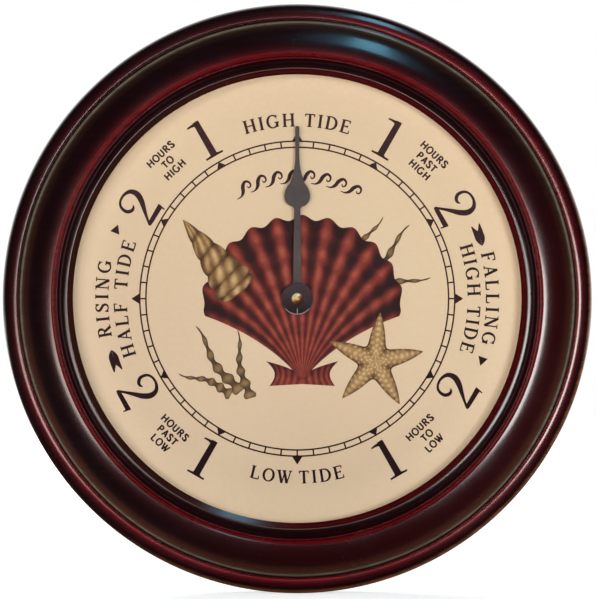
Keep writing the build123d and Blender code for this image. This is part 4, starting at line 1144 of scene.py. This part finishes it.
studio = {
    "floorSize": 6.0, "floorFront": 0.5, "floorColour": (236, 235, 232), "floorGlow": 0.7, "ambient": 0.1,
    "frontDim": 0.006, "mirrorDark": (40, 38, 38),
    # each lamp: place, width and height, power, colour, and whether mirrors see it
    "lamps": [
        ("keyLamp", (-0.4, -2.5, 0.5), (1.0, 1.0), 12.5, (1.0, 0.98, 0.96), False),
        ("fillLamp", (0.45, -2.5, 0.05), (1.2, 1.2), 10.0, (1.0, 0.97, 0.94), False),
        ("sideLamp", (-1.3, -2.2, 0.35), (0.4, 0.4), 9.0, (1.0, 0.97, 0.94), False),
        ("backLamp", (-0.8, 2.4, 1.2), (1.5, 1.5), 60.0, (1.0, 1.0, 1.0), False),
        ("windowLamp", (0.40, -0.78, 1.39), (0.21, 0.8), 3.3, (0.27, 0.73, 1.0), True),
        ("rightLamp", (0.62, -2.1, -0.17), (0.7, 0.66), 19.0, (1.0, 0.98, 0.95), True),
        ("leftLamp", (-0.54, -2.1, -0.35), (0.75, 0.66), 11.0, (1.0, 0.9, 0.82), True),
    ],
}


def seenAndGlossy(paint):
    # two masks: rays from the camera or through clear pieces, and rays from a mirror
    path = paint.add("ShaderNodeLightPath", take="Is Camera Ray")
    return path.math("MAXIMUM", path, path.also("Is Transmission Ray")), path.also("Is Glossy Ray")


def lightWorld(s):
    # camera, mirror and clear rays see white behind the object; mirrors see a dim room in front of it
    scene = bpy.context.scene
    scene.world = bpy.data.worlds.new("studioWorld")
    scene.world.use_nodes = True
    paint = Paint("studioWorld", scene.world.node_tree)
    seen, glossy = seenAndGlossy(paint)
    x, y, z = paint.axes(paint.add("ShaderNodeTexCoord", take="Generated"))
    behind = paint.spread(y, 0.3, 0.8)
    room = s["frontDim"] + behind * (1 - s["frontDim"])
    other = glossy * room + (1 - glossy) * s["ambient"]
    strength = seen + (1 - seen) * other
    glow = paint.add("ShaderNodeBackground", inputs={"Color": (1, 1, 1, 1), "Strength": strength})
    paint.add("ShaderNodeOutputWorld", inputs={"Surface": glow})


def floorFinish(s):
    # pale plaster whose own glow, seen by the camera and in mirrors, keeps it near white and leaves the
    # shadow; the part in front of the object is dark in mirrors, as the room is
    paint = Paint("floorPlaster")
    seen, glossy = seenAndGlossy(paint)
    place, x, y, z = paint.placeAndAxes()
    behind = paint.spread(y, 0.3, 1.2)
    seen = seen.math("MAXIMUM", seen, glossy * behind)
    speck = paint.noise(place, 40.0, 3.0)
    pale = paint.blend(paint.varied(speck, 0.0, 0.03), shade(*s["floorColour"]), (1, 1, 1, 1))
    surface = paint.add("ShaderNodeBsdfPrincipled", inputs={
        "Base Color": paint.blend(glossy * (1 - behind), pale, shade(*s["mirrorDark"])),
        "Roughness": 0.9, "Emission Color": (1, 1, 1, 1), "Emission Strength": seen * s["floorGlow"]})
    paint.add("ShaderNodeOutputMaterial", inputs={"Surface": surface})
    return paint.material


def makeFloor(s):
    # a flat sheet under the clock's lowest point
    half, front, level = s["floorSize"] / 2, -s["floorFront"], cadLow.z
    points = np.array(
        [[-half, front, level], [half, front, level], [half, half, level], [-half, half, level]])
    floor = addMesh("floor", points, np.array([[0, 1, 2, 3]]), floorFinish(s))


def makeLamps(s):
    # flat lamps, each turned to face the object, its height in line with the axis through the dial
    for name, place, size, watts, colour, mirrored in s["lamps"]:
        lamp = bpy.data.lights.new(name, "AREA")
        lamp.shape = "RECTANGLE"
        lamp.size, lamp.size_y = size
        lamp.energy = watts
        lamp.color = colour
        holder = addObject(name, lamp)
        holder.location = place
        aim = Vector(place).normalized()
        side = aim.cross(Vector((0, 1, 0))).normalized()
        holder.rotation_euler = Matrix((side, aim.cross(side), aim)).transposed().to_euler()
        holder.visible_glossy = mirrored


# the outer circle's radius and middle are in pixels of the image, the rest in millimetres
lens = {"imageWidth": 596, "imageHeight": 599, "circleRadius": 294.66, "circleX": 297.26,
        "circleY": 298.65, "distance": 2300.0, "edgeDepth": 21.1, "sensor": 36.0}


def makeCamera(c, m):
    # square on to the dial; the lens makes the outer circle as large as it is in the photograph
    toEdge = c["distance"] - c["edgeDepth"]
    focalPixels = c["circleRadius"] * toEdge / m["outerRadius"]
    camera = bpy.data.cameras.new("camera")
    camera.sensor_width = c["sensor"]
    camera.lens = focalPixels * c["sensor"] / max(c["imageWidth"], c["imageHeight"])
    holder = addObject("camera", camera)
    pixel = toEdge / focalPixels
    holder.location = (
        (c["imageWidth"] / 2 - c["circleX"]) * pixel * mm, -c["distance"] * mm,
        (c["circleY"] - c["imageHeight"] / 2) * pixel * mm)
    holder.rotation_euler = (math.pi / 2, 0, 0)
    bpy.context.scene.camera = holder


lightWorld(studio)
makeFloor(studio)
makeLamps(studio)
makeCamera(lens, moulding)
bpy.context.scene.view_settings.view_transform = "Standard"
print("floor, light and camera set")
